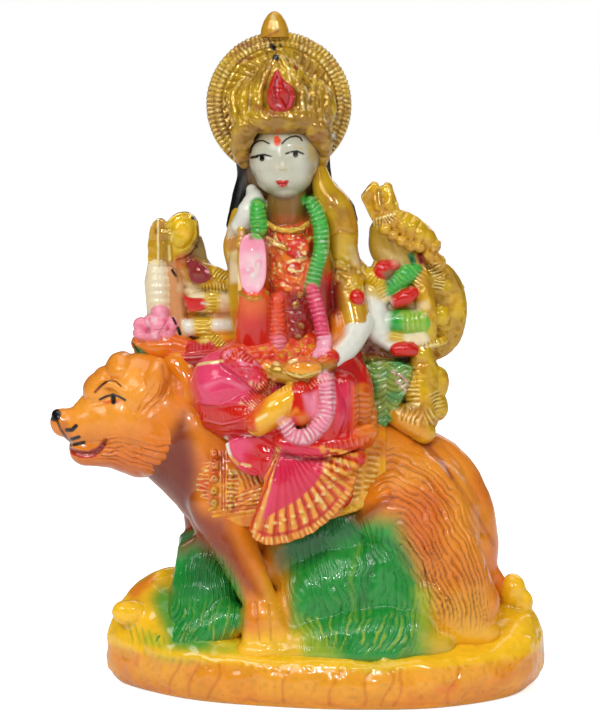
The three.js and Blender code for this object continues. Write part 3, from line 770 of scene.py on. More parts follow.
def lion_shapes():
    o, g = "lion_orange", "leaf_green"
    body = [
        grid_tubes([[(-66, 6, 216, 64), (-20, 8, 222, 68), (60, 10, 212, 70), (112, 12, 176, 76)]], o, 0.8),
        ball((111, 12, 138), (91, 50, 124), o), ball((112, -20, 168), (68, 44, 78), o, (0, -14, 0)),
        grid_tubes([[(-72, -4, 220, 62), (-108, -8, 250, 56), (-142, -12, 273, 52)]], o, 0.86),
        ball((-76, -18, 196), (36, 32, 50), o, (0, 14, 0)),
    ]
    near = [
        tubes([[(214, 500, -34, 28), (232, 540, -42, 24), (249, 576, -52, 19), (263, 606, -58, 17)]], o, 0.9),
        egg(264, 620, -60, (24, 22, 26), o), egg(253, 634, -66, (12, 12, 14), o), egg(266, 637, -70, (12, 12, 13), o),
        egg(279, 633, -66, (11, 12, 13), o), egg(264, 650, -68, (30, 18, 12), o),
    ]
    far = [
        grid_tubes([[(-104, 40, 212, 28), (-94, 40, 158, 25), (-106, 48, 108, 18), (-120, 54, 76, 17)]], o),
        ball((-124, 54, 70), (22, 18, 16), o),
        grid_tubes([[(140, 56, 140, 44), (174, 60, 100, 26), (184, 64, 74, 17)]], o),
        grid_tubes([[(186, 64, 72, 16), (150, 68, 70, 17), (112, 70, 68, 16)]], o),
        grid_tubes([[(178, 18, 158, 9), (187, 10, 129, 9), (205, 4, 97, 9)]], o),
    ]
    haunch = [
        tubes([[(398, 512, -44, 42), (440, 560, -46, 42), (468, 604, -42, 32)]], o, 0.8),
        tubes([[(440, 590, -52, 34), (458, 622, -50, 26), (482, 632, -44, 18)]], o, 0.9),
    ]
    grass = [
        # a mass from the far foreleg to the haunch closes the room below the belly
        tubes([[(200, 640, 40, 20), (300, 640, 46, 24), (420, 640, 44, 22)],
               [(222, 600, 28, 30), (310, 590, 34, 36), (408, 600, 30, 32)],
               [(218, 566, 22, 26), (310, 556, 28, 32), (410, 562, 28, 30)]], g),
        slab([(182, 520), (300, 500), (420, 520), (440, 600), (432, 650), (300, 660), (165, 645), (160, 612),
              (176, 575)],
             34, 62, g),
        tubes([[(300, 640, -46, 34), (322, 600, -38, 48), (362, 584, -34, 50), (404, 600, -38, 42)]], g, 0.8),
        [tubes([run], g) for run in (
            [(288, 646, -58, 22), (330, 640, -66, 26), (372, 636, -68, 28), (408, 632, -62, 28)],
            [(284, 652, -70, 12), (320, 652, -80, 13), (360, 652, -84, 14), (400, 650, -80, 15), (440, 646, -64, 16)],
            [(388, 566, -36, 36), (410, 604, -44, 32), (428, 636, -48, 24)],
            [(272, 566, -18, 24), (300, 540, -22, 30), (345, 524, -24, 34)],
            [(204, 560, -6, 26), (206, 590, -18, 36), (200, 616, -26, 34)],
            [(168, 640, -36, 18), (196, 634, -46, 20), (226, 620, -44, 22)])],
    ]
    return [body, near, far, haunch, grass]


THIGH = [
    [(352, 444), (392, 436), (428, 448), (458, 478), (482, 520), (494, 570), (499, 625)],
    [(356, 462), (392, 456), (424, 470), (450, 500), (473, 540), (486, 588), (490, 632)],
    [(362, 482), (394, 478), (420, 492), (442, 520), (463, 556), (476, 598), (480, 636)],
    [(372, 502), (398, 500), (418, 514), (436, 540), (452, 572), (464, 606), (468, 638)],
    [(384, 520), (402, 522), (416, 536), (430, 560), (442, 586), (452, 612), (456, 640)],
    [(390, 538), (402, 544), (412, 558), (422, 578), (432, 598), (440, 618), (444, 642)],
    [(386, 556), (398, 566), (406, 580), (414, 596), (422, 612), (428, 626), (432, 644)],
]
GREEN = [
    [(424, 560), (432, 596), (430, 628), (420, 660)], [(402, 530), (418, 592), (416, 628), (398, 662)],
    [(384, 516), (402, 586), (399, 624), (378, 662)], [(362, 506), (381, 578), (379, 620), (359, 662)],
    [(338, 502), (358, 572), (361, 616), (342, 662)], [(316, 514), (334, 574), (343, 618), (330, 662)],
    [(296, 528), (312, 586), (326, 626), (320, 662)], [(280, 550), (294, 602), (310, 636), (308, 664)],
    [(270, 590), (280, 618), (294, 644), (298, 666)],
]
CHEST = [
    [(126, 648), (148, 622), (166, 596), (178, 560)], [(146, 656), (166, 630), (180, 602), (188, 548)],
    [(168, 656), (184, 630), (194, 602), (200, 540)], [(190, 654), (201, 626), (208, 600), (212, 540)],
    [(210, 652), (218, 622), (222, 600), (224, 548)], [(228, 648), (234, 620), (237, 600), (238, 560)],
    [(246, 640), (249, 618), (250, 600), (252, 574)],
]


class FIGURINE_OT_lion(bpy.types.Operator):
    """Adds the lion's body and legs, its thigh and the grass combed up it"""
    bl_idname = "figurine.lion"
    bl_label = "Lion Body"

    def execute(self, context):
        cast = Cast("lion_body", lion_shapes(), 1.8, soften=22)
        depth = context.scene.figurine_sizes.fur_depth / SHARE
        z = cast.points[:, 2]
        cast.emboss(0.7 * ripple(cast.points, 34, 3.0))
        cast.mould(
            ([(422, 440), (444, 462), (464, 492), (484, 534)], 5, 7, -3.6),
            ([(440, 440), (462, 466), (480, 500)], 3, 6, -1.8), ([(430, 482), (448, 512)], 10, 12, -1.6),
            ([(452, 560), (470, 585)], 5, 8, -1.6),
            ([(360, 520), (392, 496)], 6, 8, 2.0),
            ([(372, 560), (366, 590), (362, 612)], 8, 12, -2.0),
            ([(255, 602), (259, 640)], 2, 4, -2.0), ([(270, 604), (272, 640)], 2, 4, -2.0))
        away = cast.faces_back()
        blades = wave(cast.across / 9 + 2 * grain(cast.points, 34, 35)) - 0.5
        cast.emboss(1.6 * away * cast.mask("leaf_green") * blades)
        cast.emboss(0.8 * away * (wave(cast.down / 9 + cast.across / 26 + 1.5 * grain(cast.points, 26, 36)) - 0.5))
        cast.mottle("lion_deep", 0.6 * away * (1 - cast.mask("leaf_green")), 0.45, 0.75, 40, 37)
        cast.spray("rock_yellow", 0.6 * away * step(96, 66, z))
        fur, hair = comb(cast, THIGH, 3, 4.6 * depth, 26)
        grass, blade = comb(cast, GREEN, 3, 1.7 * depth, 22)
        tuft, blade_2 = comb(cast, CHEST, 3, 1.9 * depth, 16)
        cast.spray("lion_light", 0.6 * cast.area([(380, 440), (470, 470), (492, 560), (430, 520), (400, 500)], 50))
        cast.spray("lion_deep", 0.7 * step(0.45, 0.75, grain(cast.points, 34, 6)) * cast.faces_front() * 0.7)
        # The deeper orange in the hollow of the haunch and the dark greens under the fan, under the belly and beside
        # the foreleg are painted shade.
        cast.fill(
            ("lion_deep", [(430, 482), (445, 480), (450, 512), (432, 560), (400, 545), (395, 525)], 20, 0.7),
            ("leaf_green", [(262, 600), (272, 560), (318, 530), (345, 512), (396, 520), (412, 560), (426, 600),
                            (424, 640), (400, 668), (280, 672)], 18, 1.0),
            ("leaf_dark", [(262, 545), (350, 515), (350, 535), (300, 560), (270, 585)], 12, 0.7),
            ("leaf_green", [(266, 542), (345, 502), (356, 540), (306, 590), (274, 590)], 8, 0.9),
            ("leaf_dark", [(264, 544), (345, 502), (360, 532), (304, 562), (276, 578)], 10, 0.85),
            ("leaf_lime", [(278, 640), (300, 620), (330, 645), (345, 664), (280, 672)], 14, 0.85),
            ("foot_yellow", [(432, 600), (480, 590), (502, 640), (436, 652)], 26, 0.75),
            ("leaf_lime", [(415, 590), (430, 590), (436, 640), (420, 650)], 12, 0.7),
            ("leaf_green", [(150, 636), (168, 600), (180, 560), (190, 540), (225, 550), (246, 585), (246, 625),
                            (215, 645), (170, 652)], 16, 1.0),
            ("leaf_dark", [(186, 552), (215, 545), (224, 590), (190, 595)], 16, 0.8),
            ("lion_orange", [(226, 520), (275, 520), (290, 560), (288, 640), (244, 645), (246, 600), (236, 560)],
             6, 1.0),
            ("foot_yellow", [(262, 575), (290, 575), (292, 640), (264, 640)], 12, 0.65),
            ("rock_yellow", [(236, 634), (300, 634), (304, 664), (230, 664)], 10, 0.9),
            ("leaf_green", [(276, 545), (300, 545), (300, 600), (292, 605)], 12, 0.6),
            ("lion_shadow", [(182, 505), (225, 520), (262, 596), (246, 592), (222, 560), (195, 545), (180, 552)],
             12, 0.9),
            ("lion_shadow", [(140, 476), (184, 415), (196, 470), (192, 520), (176, 512)], 14, 0.95),
            ("red_dark", [(180, 425), (192, 440), (192, 500), (184, 500)], 12, 0.4),
            ("lion_orange", [(150, 488), (162, 488), (182, 512), (176, 520)], 8, 0.5),
            ("leaf_dark", [(268, 545), (300, 545), (290, 570), (276, 575)], 10, 0.6),
            ("lion_shadow", [(406, 430), (436, 430), (430, 448), (414, 444)], 6, 0.8),
            ("lion_shadow", [(345, 516), (392, 494), (394, 500), (360, 528)], 6, 0.7))
        # The first strokes here are painted shade: along the grooves of the haunch, and in the hollows of the grass
        # under the belly and beside the haunch.
        cast.dab(
            ("red_dark", [(420, 436), (440, 460), (452, 478)], 3, 5, 0.6),
            ("lion_shadow", [(440, 460), (462, 490), (480, 520), (494, 545)], 2.5, 5, 0.6),
            ("leaf_dark", [(300, 562), (330, 548)], 8, 16, 0.55),
            ("leaf_dark", [(372, 556), (366, 590), (362, 604)], 5, 12, 0.7),
            ("leaf_dark", [(384, 540), (398, 548), (410, 566)], 5, 10, 0.75),
            ("leaf_lime", [(360, 545), (350, 580), (356, 620)], 2, 8, 0.4))
        # lime on the crests of the grass blades low down is a painted highlight, and dark green between them is painted
        # shade
        green = np.maximum(grass, tuft)
        light = np.maximum(grass * step(0.8, 0.98, blade), tuft * step(0.8, 0.98, blade_2))
        cast.fleck("leaf_lime", 0.85 * light * step(590, 640, cast.down), 14, 0.65, 3)
        cast.spray("leaf_dark", 0.22 * green * step(0.4, 0.1, np.where(grass > tuft, blade, blade_2)))
        patches = step(0.3, 0.7, grain(cast.points, 12, 8))
        cast.spray("lion_shadow", 0.6 * fur * step(0.35, 0.05, hair) * patches * (1 - green))
        ground = cast.area([(150, 600), (420, 560), (430, 670), (150, 670)], 30)
        cast.spray("rock_yellow", 0.6 * step(84, 66, z) * (1 - ground))
        cast.shade(0.4 * cast.stands(0.0, -0.9, 4))
        below_chin = cast.area([(140, 476), (184, 415), (198, 470), (192, 520), (172, 512)], 18)
        cast.shade(0.1 * cast.mask("leaf_green") + 0.3 * below_chin)
        keep_strands(cast)
        cast.finish(painted_resin("lion orange", gloss=0.32, strands=0.05, fleck=0.07), triangles=150000)
        return {"FINISHED"}


# ---------------------------------------------------------------- the lion's head

def head_shapes():
    o = "lion_orange"
    return [
        egg(144, 394, -14, (44, 42, 42), o), egg(122, 370, -18, (17, 28, 19), o, (0, -14, 0)),
        egg(103, 390, -20, (20, 27, 19), o),
        tubes([[(128, 416, -16, 40), (100, 419, -20, 31), (76, 424, -24, 20.5), (65, 423, -25, 14.5)]], o),
        tubes([[(134, 440, -16, 32), (106, 446, -20, 22), (86, 449, -22, 17)]], o),
        tubes([[(120, 440, -14, 30), (142, 448, -14, 30)]], o),
        egg(61, 418, -26, (9, 12, 9), o), egg(57.5, 414.5, -27, (5.5, 8, 5.5), o),
        egg(107, 380, -18, (15, 24, 15), o), egg(116, 366, -18, (10, 22, 12), o),
        # ears, the tuft behind and the cheek ruff
        egg(157, 378, -50, (12, 8, 21), o, (0, 10, 0)), egg(150, 378, 30, (12, 9, 20), o, (0, 8, 0)),
        egg(178, 390, -20, (18, 24, 26), o, (0, -14, 0)),
        tubes([[(150, 420, -28, 34), (158, 438, -30, 32), (150, 452, -26, 24)]], o, 0.9),
        tubes([[(98, 388, -42, 3.5), (110, 384, -47, 5), (124, 392, -49, 4)]], o),
    ]


CHEEK = [
    [(92, 432), (118, 428), (146, 430), (178, 438)], [(94, 446), (118, 444), (144, 448), (174, 458)],
    [(90, 458), (116, 457), (142, 462), (168, 472)], [(88, 468), (114, 470), (140, 476), (158, 484)],
]
EAR_FOLD = [(163, 366), (166, 382), (160, 396)]
TEMPLE = [
    [(112, 402), (124, 384), (134, 358)], [(124, 410), (138, 392), (148, 362)],
    [(134, 420), (154, 404), (166, 374)], [(146, 432), (170, 418), (184, 392)],
]


class FIGURINE_OT_lion_head(bpy.types.Operator):
    """Adds the lion's head, with its painted eye, nose, mouth and whiskers"""
    bl_idname = "figurine.lion_head"
    bl_label = "Lion Head"

    def execute(self, context):
        cast = Cast("lion_head", head_shapes(), 1.0, soften=14)
        mouth = [(70, 450), (80, 454), (90, 455), (98, 452), (105, 441)]
        cast.mould((mouth, 4, 5, -3.0), (EAR_FOLD, 4, 8, -1.5),
                   ([(104, 400), (114, 397), (124, 401)], 3, 6, -1.2),
                   ([(172, 366), (178, 384), (172, 404)], 4, 8, -1.6),
                   ([(62, 424), (66, 434), (70, 442)], 2, 4, -1.0), ([(88, 384), (98, 394), (100, 402)], 4, 8, -1.0))
        cast.emboss(0.5 * ripple(cast.points, 22, 6.0))
        cheek, hair = comb(cast, CHEEK, 3, 3.2, 16)
        temple, hair_2 = comb(cast, TEMPLE, 2, 1.8, 16)
        cast.fill(
            ("lion_light", [(60, 405), (110, 370), (120, 352), (140, 352), (150, 390), (130, 424), (70, 424)],
             26, 0.75),
            ("lion_deep", [(70, 470), (110, 446), (180, 440), (180, 490), (90, 480)], 30, 0.6),
            ("lion_shadow", [(66, 458), (84, 462), (118, 462), (156, 474), (150, 484), (90, 476)], 12, 0.35),
            ("cream", [(184, 366), (196, 366), (196, 410), (186, 410)], 8, 0.45),
            ("red_dark", [(69, 447), (78, 450), (88, 451), (97, 447), (107, 438), (106, 446), (100, 453), (92, 458),
                          (80, 458), (72, 454)],
             2, 0.9),
            ("black", [(49, 412), (53, 407), (58, 409), (61.5, 413), (60, 419), (56, 422), (50, 420)], 2, 1.0))
        # the first stroke is painted shade in the hollow of the ear
        cast.dab(
            ("lion_deep", [(174, 366), (180, 384), (175, 402)], 5, 8, 0.8),
            ("lion_shadow", EAR_FOLD, 2, 5, 0.6),
            ("red", [(73, 454), (84, 457), (96, 456)], 2.4, 2, 0.8),
            ("black", [(57, 420), (60, 428), (65, 436), (71, 446)], 2.4, 1.6, 0.9),
            ("lion_shadow", [(64, 424), (68, 440)], 8, 6, 0.35),
            ("black", [(67, 430), (72, 430), (76, 426)], 4.2, 1.2, 1.0),
            ("black", [(71, 439.5), (79, 437)], 3.6, 1.2, 1.0), ("black", [(74, 444.5), (84, 442.5)], 3.6, 1.2, 1.0),
            ("black", [(100, 399.5), (106, 396.5), (113, 394.5), (119, 396.5), (125, 400)], 2.4, 1.0, 1.0),
            ("red_orange", [(104, 402), (120, 402)], 3.4, 3, 0.7),
            ("black", [(113, 396), (113.6, 402)], 5.0, 1.2, 1.0),
            ("red_dark", [(95, 392), (101, 386), (106, 382)], 2.6, 1.2, 0.9),
            ("black", [(98, 389), (103, 384), (107, 381.5), (111, 380.5), (116, 381.5), (121, 386)], 1.5, 1.2, 0.9))
        dark = np.maximum(cheek * step(0.35, 0.05, hair), temple * step(0.3, 0.05, hair_2))
        cast.mottle("lion_shadow", 0.45 * dark, 0.3, 0.7, 9, 8)
        cast.shade(0.3 * cast.stands(0.0, -0.8, 4))
        keep_strands(cast)
        cast.finish(painted_resin("lion head", gloss=0.32, strands=0.04, fleck=0.06), triangles=70000)
        return {"FINISHED"}


# ---------------------------------------------------------------- the saddle cloth

BUTTONS = (453, 465, 478, 491, 503)


def cloth_place(u, v):
    """The saddle cloth over the lion's back; its lower edge rises towards the tail."""
    low = -0.44 + 0.34 * max(0.0, (u - 0.62) / 0.38)
    turn = low + (1.15 - low) * v
    sunk = (4 + 34 * max(0, 1 - v * 1.3)) * max(0, 1 - u / 0.15) ** 1.4 + 14 * max(0, (u - 0.84) / 0.16) ** 1.4
    return (-110 + 194 * u, 10 - (71 - 4 * u - sunk) * math.cos(turn), 208 + (76 - 0.3 * sunk) * math.sin(turn))


class FIGURINE_OT_saddle_cloth(bpy.types.Operator):
    """Adds the saddle cloth, with its raised gold pattern"""
    bl_idname = "figurine.saddle_cloth"
    bl_label = "Saddle Cloth"

    def execute(self, context):
        shapes = [
            sheet_of(24, 60, cloth_place, 8, "lion_orange"),
            [egg(214, y, -65, (4.6, 4.6, 4.6), "gold") for y in BUTTONS],
            [bead(231, y, -66, 3.0, "gold") for y in (475, 487, 498, 508)],
        ]
        cast = Cast("saddle_cloth", shapes, 1.05, soften=2)
        cast.emboss(0.5 * ripple(cast.points, 40, 2.0))
        cast.fill(
            ("red_orange", [(184, 425), (228, 430), (224, 470), (206, 500), (190, 500)], 18, 0.85),
            ("lion_shadow", [(186, 425), (198, 428), (192, 470), (184, 480)], 12, 0.6),
            ("rock_yellow", [(345, 470), (395, 455), (395, 492), (345, 512)], 12, 0.5),
            ("red", [(232, 455), (275, 455), (275, 484), (245, 472)], 10, 0.8))
        # slanted hatching at the edge, upright lines and a border of small panels
        cast.ribbed([(197, 446), (195, 506)], 15, 5.4, 1.8, light="gold_light", dark="red")
        cast.ribbed([(206, 446), (205, 506)], 6, 4.0, 1.0, light="gold_light", dark="lion_deep")
        cast.rows([(223.5, 438), (223.5, 510)], 8, 3.6, 1.6, light="rock_yellow", dark="lion_shadow")
        cast.ribbed([(233, 474), (233, 508)], 12, 4.4, 1.5, light="gold_light", dark="lion_deep")
        cast.ribbed([(240, 482), (264, 472)], 18, 5.0, 1.6, light="gold_light", dark="red")
        cast.rows([(212, 512), (262, 506)], 14, 5.0, 1.4, light="rock_yellow", dark="lion_deep")
        cast.rows([(238, 500), (266, 492)], 12, 4.6, 1.3, light="rock_yellow", dark="lion_deep")
        cast.ribbed([(354, 500), (356, 448)], 14, 6.0, 1.7, light="gold_light", dark="gold_brown")
        cast.ribbed([(369, 494), (376, 446)], 12, 6.0, 1.5, light="gold_light", dark="gold_brown")
        # the raised lower edge, with a painted highlight along its top and a painted shadow under it
        cast.mould(([(346, 511), (370, 503), (394, 490)], 5, 4, 1.6))
        cast.dab(("gold_yellow", [(346, 510), (370, 502), (394, 489)], 5, 4, 0.8),
                 ("gold_light", [(360, 502), (384, 490)], 2, 3, 0.7),
                 ("lion_shadow", [(346, 518), (394, 496)], 3, 4, 0.7))
        front = cast.faces_front()
        cast.roughen(1.6 * front, 4.5, 18)
        cast.mottle("rock_yellow", 0.4 * front, 0.4, 0.75, 9, 19)
        # redder and darker where the surface lies deep: painted shade; then pale gold glints on what stands out:
        # painted highlights
        cast.spray("red_orange", 0.4 * front * cast.stands(0.0, -0.4) * step(330, 280, cast.across))
        cast.fleck("gold_light", 0.7 * front * cast.stands(0.05, 0.3), 3, 0.45, 3)
        for y in BUTTONS:
            middle = [(214, y), (214.5, y)]
            cast.mould((middle, 2, 2, -1.6))
            cast.dab(("lion_shadow", middle, 2, 1.6, 0.8))
        cast.gild("gold", high=0.5, low=0.2)
        # more painted shade in red where the surface lies deep
        cast.spray("red_orange", 0.5 * front * cast.stands(0.1, -0.5) * step(330, 280, cast.across))
        cast.shade(0.3 * cast.stands(0.0, -0.7, 4))
        cast.finish(painted_resin("saddle cloth", gloss=0.26), triangles=60000)
        return {"FINISHED"}


# ---------------------------------------------------------------- the skirt and legs

FAN_APEX = (283, 441)
FAN_EDGE = [(250, 530), (256, 541), (264, 546), (286, 543), (311, 534), (335, 515), (350, 495), (358, 472), (358, 452)]
FAN_PINK = [(283, 441), (262, 520), (278, 511), (296, 501), (314, 486), (326, 468), (330, 450)]


def fan_place(u, v):
    """The pleated fan of the skirt's end, spread from its gathered top."""
    edge = along([(*p, 0) for p in FAN_EDGE], 41)
    at = min(39, int(u * 40))
    x, y = edge[at, :2] + (edge[at + 1, :2] - edge[at, :2]) * (u * 40 - at)
    reach = 0.06 + 0.94 * v
    back = -84 - 9 * math.sin(math.pi * min(1, v * 1.1)) - 2.6 * v * math.cos(2 * math.pi * 12 * u)
    return spot(FAN_APEX[0] + (x - FAN_APEX[0]) * reach, FAN_APEX[1] + (y - FAN_APEX[1]) * reach, back + 14 * v * u)


def skirt_shapes():
    r = "red"
    legs = [
        ball((0, -12, 328), (64, 54, 50), r),
        grid_tubes([[(4, -20, 326, 43), (-46, -42, 324, 38), (-74, -50, 316, 33)]], "pink"),
        grid_tubes([[(-80, -48, 296, 24), (-52, -64, 290, 26), (-24, -76, 286, 20)]], r),
        grid_tubes([[(-84, -46, 280, 14), (-54, -66, 272, 16), (-20, -72, 262, 16)]], r),
        grid_tubes([[(6, -18, 322, 44), (34, -38, 310, 38), (40, -50, 280, 30), (34, -54, 236, 24),
                     (20, -56, 206, 20)]], r),
    ]
    folds = [
        tubes([[(258, 424, -88, 12), (274, 410, -94, 14.5), (291, 397, -90, 13)]], "foot_yellow"),
        tubes([[(322, 388, -84, 15), (330, 412, -86, 16), (322, 438, -88, 15)]], r),
        tubes([[(344, 384, -74, 13), (346, 410, -76, 13), (342, 436, -80, 13)]], r),
        egg(306, 410, -90, (17, 12, 20), r),
        tubes([[(178, 366, -20, 16), (188, 384, -26, 16), (192, 404, -30, 14)]], "lion_orange"),
        tubes([[(284, 444, -90, 11), (318, 446, -94, 11), (352, 440, -86, 10), (368, 432, -76, 9)]], r),
        tubes([[(318, 470, -84, 12), (340, 466, -82, 12), (356, 458, -76, 10)]], r),
        tubes([[(300, 394, -92, 12), (300, 414, -96, 12)]], r),
        tubes([[(232, 358, -76, 12), (246, 368, -82, 12), (258, 380, -82, 10)]], "red"),
    ]
    flap = [
        slab([(225, 438), (262, 432), (284, 442), (266, 472), (250, 474), (238, 466), (230, 455)], -70, 13, "pink"),
        tubes([[(262, 446, -76, 10), (270, 462, -80, 10), (268, 474, -78, 8)]], r),
    ]
    fan = [
        sheet_of(40, 160, fan_place, 9, r),
        tubes([[(292, 470, -66, 20), (292, 500, -66, 24), (282, 522, -68, 18)],
               [(292, 470, -66, 20), (318, 490, -62, 24), (336, 492, -58, 18)]], r, 0.8),
    ]
    garland = tubes([[(326, 379, -92, 6), (328, 400, -98, 7), (325, 417, -102, 7.4), (315, 430, -104, 7.4),
                      (303, 437, -104, 7.4), (292, 434, -103, 7), (286, 425, -100, 6.4)]], "pink_pale")
    belt = [
        tubes([[(256, 366, -60, 9), (280, 372, -76, 11), (304, 374, -80, 11), (328, 364, -70, 9)]], "gold"),
        egg(302, 368, -88, (19, 9, 8.5), "foot_yellow"), egg(268, 366, -74, (9, 7, 7), "foot_yellow"),
        tubes([[(285, 368, -92, 3), (292, 361, -93, 3.2), (302, 359, -94, 3.2), (313, 361, -92, 3.2),
                (320, 367, -90, 3),
                (313, 374, -93, 3), (302, 376.5, -94, 3), (292, 374, -93, 3), (285, 368, -92, 3)]], "gold"),
    ]
    return [legs, folds, flap, fan, garland, belt]


class FIGURINE_OT_skirt(bpy.types.Operator):
    """Adds the folded legs with their skirt, its pleated fan, the foot, the belt and the trimmings"""
    bl_idname = "figurine.skirt"
    bl_label = "Skirt"

    def execute(self, context):
        cast = Cast("skirt", skirt_shapes(), 1.05, soften=5)
        x, y, front = cast.across, cast.down, cast.faces_front()
        fan = step(-1, 3, inside(x, y, [(276, 446), (246, 524), *FAN_EDGE, (335, 446)])) * front
        pink = cast.area(FAN_PINK, 3)
        bearing = np.arctan2(y - FAN_APEX[1], x - FAN_APEX[0])
        pleat = ridge(bearing * 7.2 + 0.25 * grain(cast.points, 10, 6))
        pleats = 2.0 * (pleat - 0.5) * (1 - 0.65 * pink)
        cast.emboss(fan * (pleats + 1.3 * (1 - pink) * (grain(cast.points, 4, 6) - 0.5)))
        cast.fill(
            ("red", [(180, 402), (250, 404), (258, 432), (205, 436), (184, 430)], 4, 0.9),
            ("red_orange", [(226, 336), (262, 338), (340, 334), (344, 362), (262, 364), (228, 358)], 6, 0.9),
            ("lion_deep", [(268, 340), (316, 340), (318, 356), (266, 358)], 6, 0.7),
            ("pink", [(192, 366), (258, 362), (262, 392), (250, 402), (196, 402), (188, 384)], 6, 0.85),
            ("red_orange", [(256, 385), (276, 378), (262, 412), (246, 430), (244, 408)], 6, 0.8),
            ("lion_orange", [(168, 366), (190, 368), (192, 402), (176, 412)], 12, 0.85),
            ("red", [(226, 352), (262, 352), (266, 384), (244, 382), (228, 366)], 6, 0.5),
            ("pink", [(262, 440), (228, 440), (234, 460), (258, 466)], 8, 0.7),
            ("red", [(256, 440), (286, 442), (276, 480), (246, 476), (240, 466)], 7, 0.85),
            ("lotus_pink", [(303, 395), (317, 391), (320, 414), (309, 420)], 4, 0.85),
            ("lion_orange", [(296, 412), (310, 414), (312, 428), (300, 430)], 5, 0.6),
            ("pink_deep", FAN_PINK, 4, 0.95), ("pink", [(272, 450), (258, 517), (267, 523), (281, 450)], 4, 0.85),
            ("red_orange", [(350, 440), (378, 430), (378, 448), (356, 456)], 8, 0.6),
            ("pink", [(337, 384), (356, 382), (350, 420), (337, 430)], 5, 0.55),
            ("red_dark", [(330, 366), (360, 358), (360, 378), (332, 382)], 10, 0.6),
            ("lion_orange", [(354, 388), (384, 396), (384, 452), (356, 436)], 9, 0.8))
        cast.roughen((1 - fan) * front, 12, 33)
        cast.mould(
            ([(196, 402), (222, 405), (250, 401)], 3, 3, 1.2), ([(196, 418), (222, 424), (250, 419)], 3, 3, 1.2),
            ([(186, 432), (222, 434), (256, 434)], 4, 5, -2.0), ([(262, 436), (280, 448), (274, 478)], 3, 5, -1.4),
            ([(226, 442), (230, 456), (240, 466), (256, 474)], 4, 3, 1.2),
            ([(246, 452), (262, 458), (272, 456)], 4, 6, -1.2), ([(204, 384), (220, 377), (240, 384)], 4, 7, 0.9),
            ([(210, 394), (230, 388), (248, 394)], 3, 6, 0.7), ([(262, 382), (250, 396), (244, 412)], 3, 4, -1.2),
            ([(334, 384), (335, 432)], 3, 5, -1.6), ([(352, 384), (350, 436)], 3, 5, -1.6),
            ([(284, 456), (320, 458), (352, 450)], 3, 4, -1.6), ([(190, 366), (206, 363), (222, 361)], 3, 3, 1.2))
        waist = cast.area([(228, 338), (262, 336), (338, 334), (344, 358), (262, 362), (230, 356)], 6)
        cast.roughen(2.4 * waist, 5, 30)
        cast.fleck("gold_yellow", 0.6 * waist * step(225, 275, x), 4, 0.4, 31)
        cast.fleck("red", 0.7 * waist, 7, 0.5, 32)
        # pale gold glints on what stands out: painted highlights
        cast.fleck("gold_light", 0.8 * waist * cast.stands(0.1, 0.4), 3, 0.4, 50)
        cast.ribbed([(188, 410), (222, 416), (252, 410)], 10, 3.2, 0.25, light="red_orange")
        cast.ribbed([(244, 404), (256, 393), (270, 382)], 12, 2.8, 1.0, light="gold_light", dark="red")
        cast.ribbed([(247, 412), (258, 402), (268, 392)], 5, 2.4, 0.8, light="gold_light", dark="red_dark")
        cast.ribbed([(326, 378), (328, 400), (325, 417), (315, 430), (303, 437), (292, 434), (285, 424)],
                    16, 4.6, 1.7, "lotus_pink", "resin_white", "red", paint=0.4)
        cast.ribbed([(226, 356), (240, 352), (250, 362), (244, 372)], 9, 3.8, 1.0, light="lotus_pink", dark="red")
        sash = cast.area([(222, 352), (240, 346), (268, 372), (262, 386), (246, 382), (228, 366)], 4)
        cast.roughen(2.6 * sash, 5, 23)
        cast.fleck("lotus_pink", 0.8 * sash, 4, 0.3, 9)
        cast.ribbed([(362, 392), (364, 414), (366, 436)], 18, 5.6, 1.1, light="rock_orange", dark="red", paint=0.3)
        cast.ribbed([(324, 449), (340, 446), (356, 442), (372, 442)], 8, 5.4, 1.2, light="rock_yellow", dark="red")
        cast.ribbed([(328, 466), (344, 464), (360, 458)], 16, 6.2, 1.4, light="rock_yellow", dark="red")
        cast.ribbed([(252, 384), (280, 388), (306, 388), (330, 376)], 6, 3.4, 0.7, light="gold_light",
                    dark="red_orange")
        # The fan's outer band: gold on the pleats' crests, with a painted highlight on the very crests and painted
        # shade in dark red in the grooves.
        outer = fan * (1 - pink)
        cast.spray("red_orange", 0.6 * outer)
        cast.spray("rock_yellow", 0.6 * outer * step(0.6, 0.95, pleat))
        cast.mottle("lion_orange", 0.5 * outer, 0.45, 0.8, 12, 9)
        cast.spray("gold_light", 0.12 * outer * step(0.8, 1.0, pleat))
        cast.fleck("gold_light", 0.7 * outer * step(0.6, 0.95, pleat), 4, 0.3, 2)
        cast.spray("red_dark", 0.6 * outer * step(0.35, 0.05, pleat))
        cast.dab(("red", [(258, 532), (272, 536), (296, 531), (318, 519), (338, 499)], 4, 2, 0.85))
        cast.ribbed([(253, 534), (264, 542), (288, 539), (312, 530), (334, 512), (349, 492), (356, 468)], 7, 5.2, 1.3,
                    "rock_orange", "gold_light", "red_orange")
        # raised beads whose pale gold is partly a painted highlight
        dots = along([(266, 526, 0), (292, 517, 0), (314, 503, 0), (330, 487, 0), (337, 470, 0)], 11)
        for px, py, _ in dots:
            dot = [(px, py), (px + 1, py)]
            cast.mould((dot, 5, 3, 1.4))
            cast.dab(("gold_light", dot, 3.0, 2.4, 0.6))
        # a lighter pink on the crests of the pink pleats: a painted highlight
        cast.spray("pink", 0.3 * fan * pink * step(0.6, 1, pleat))
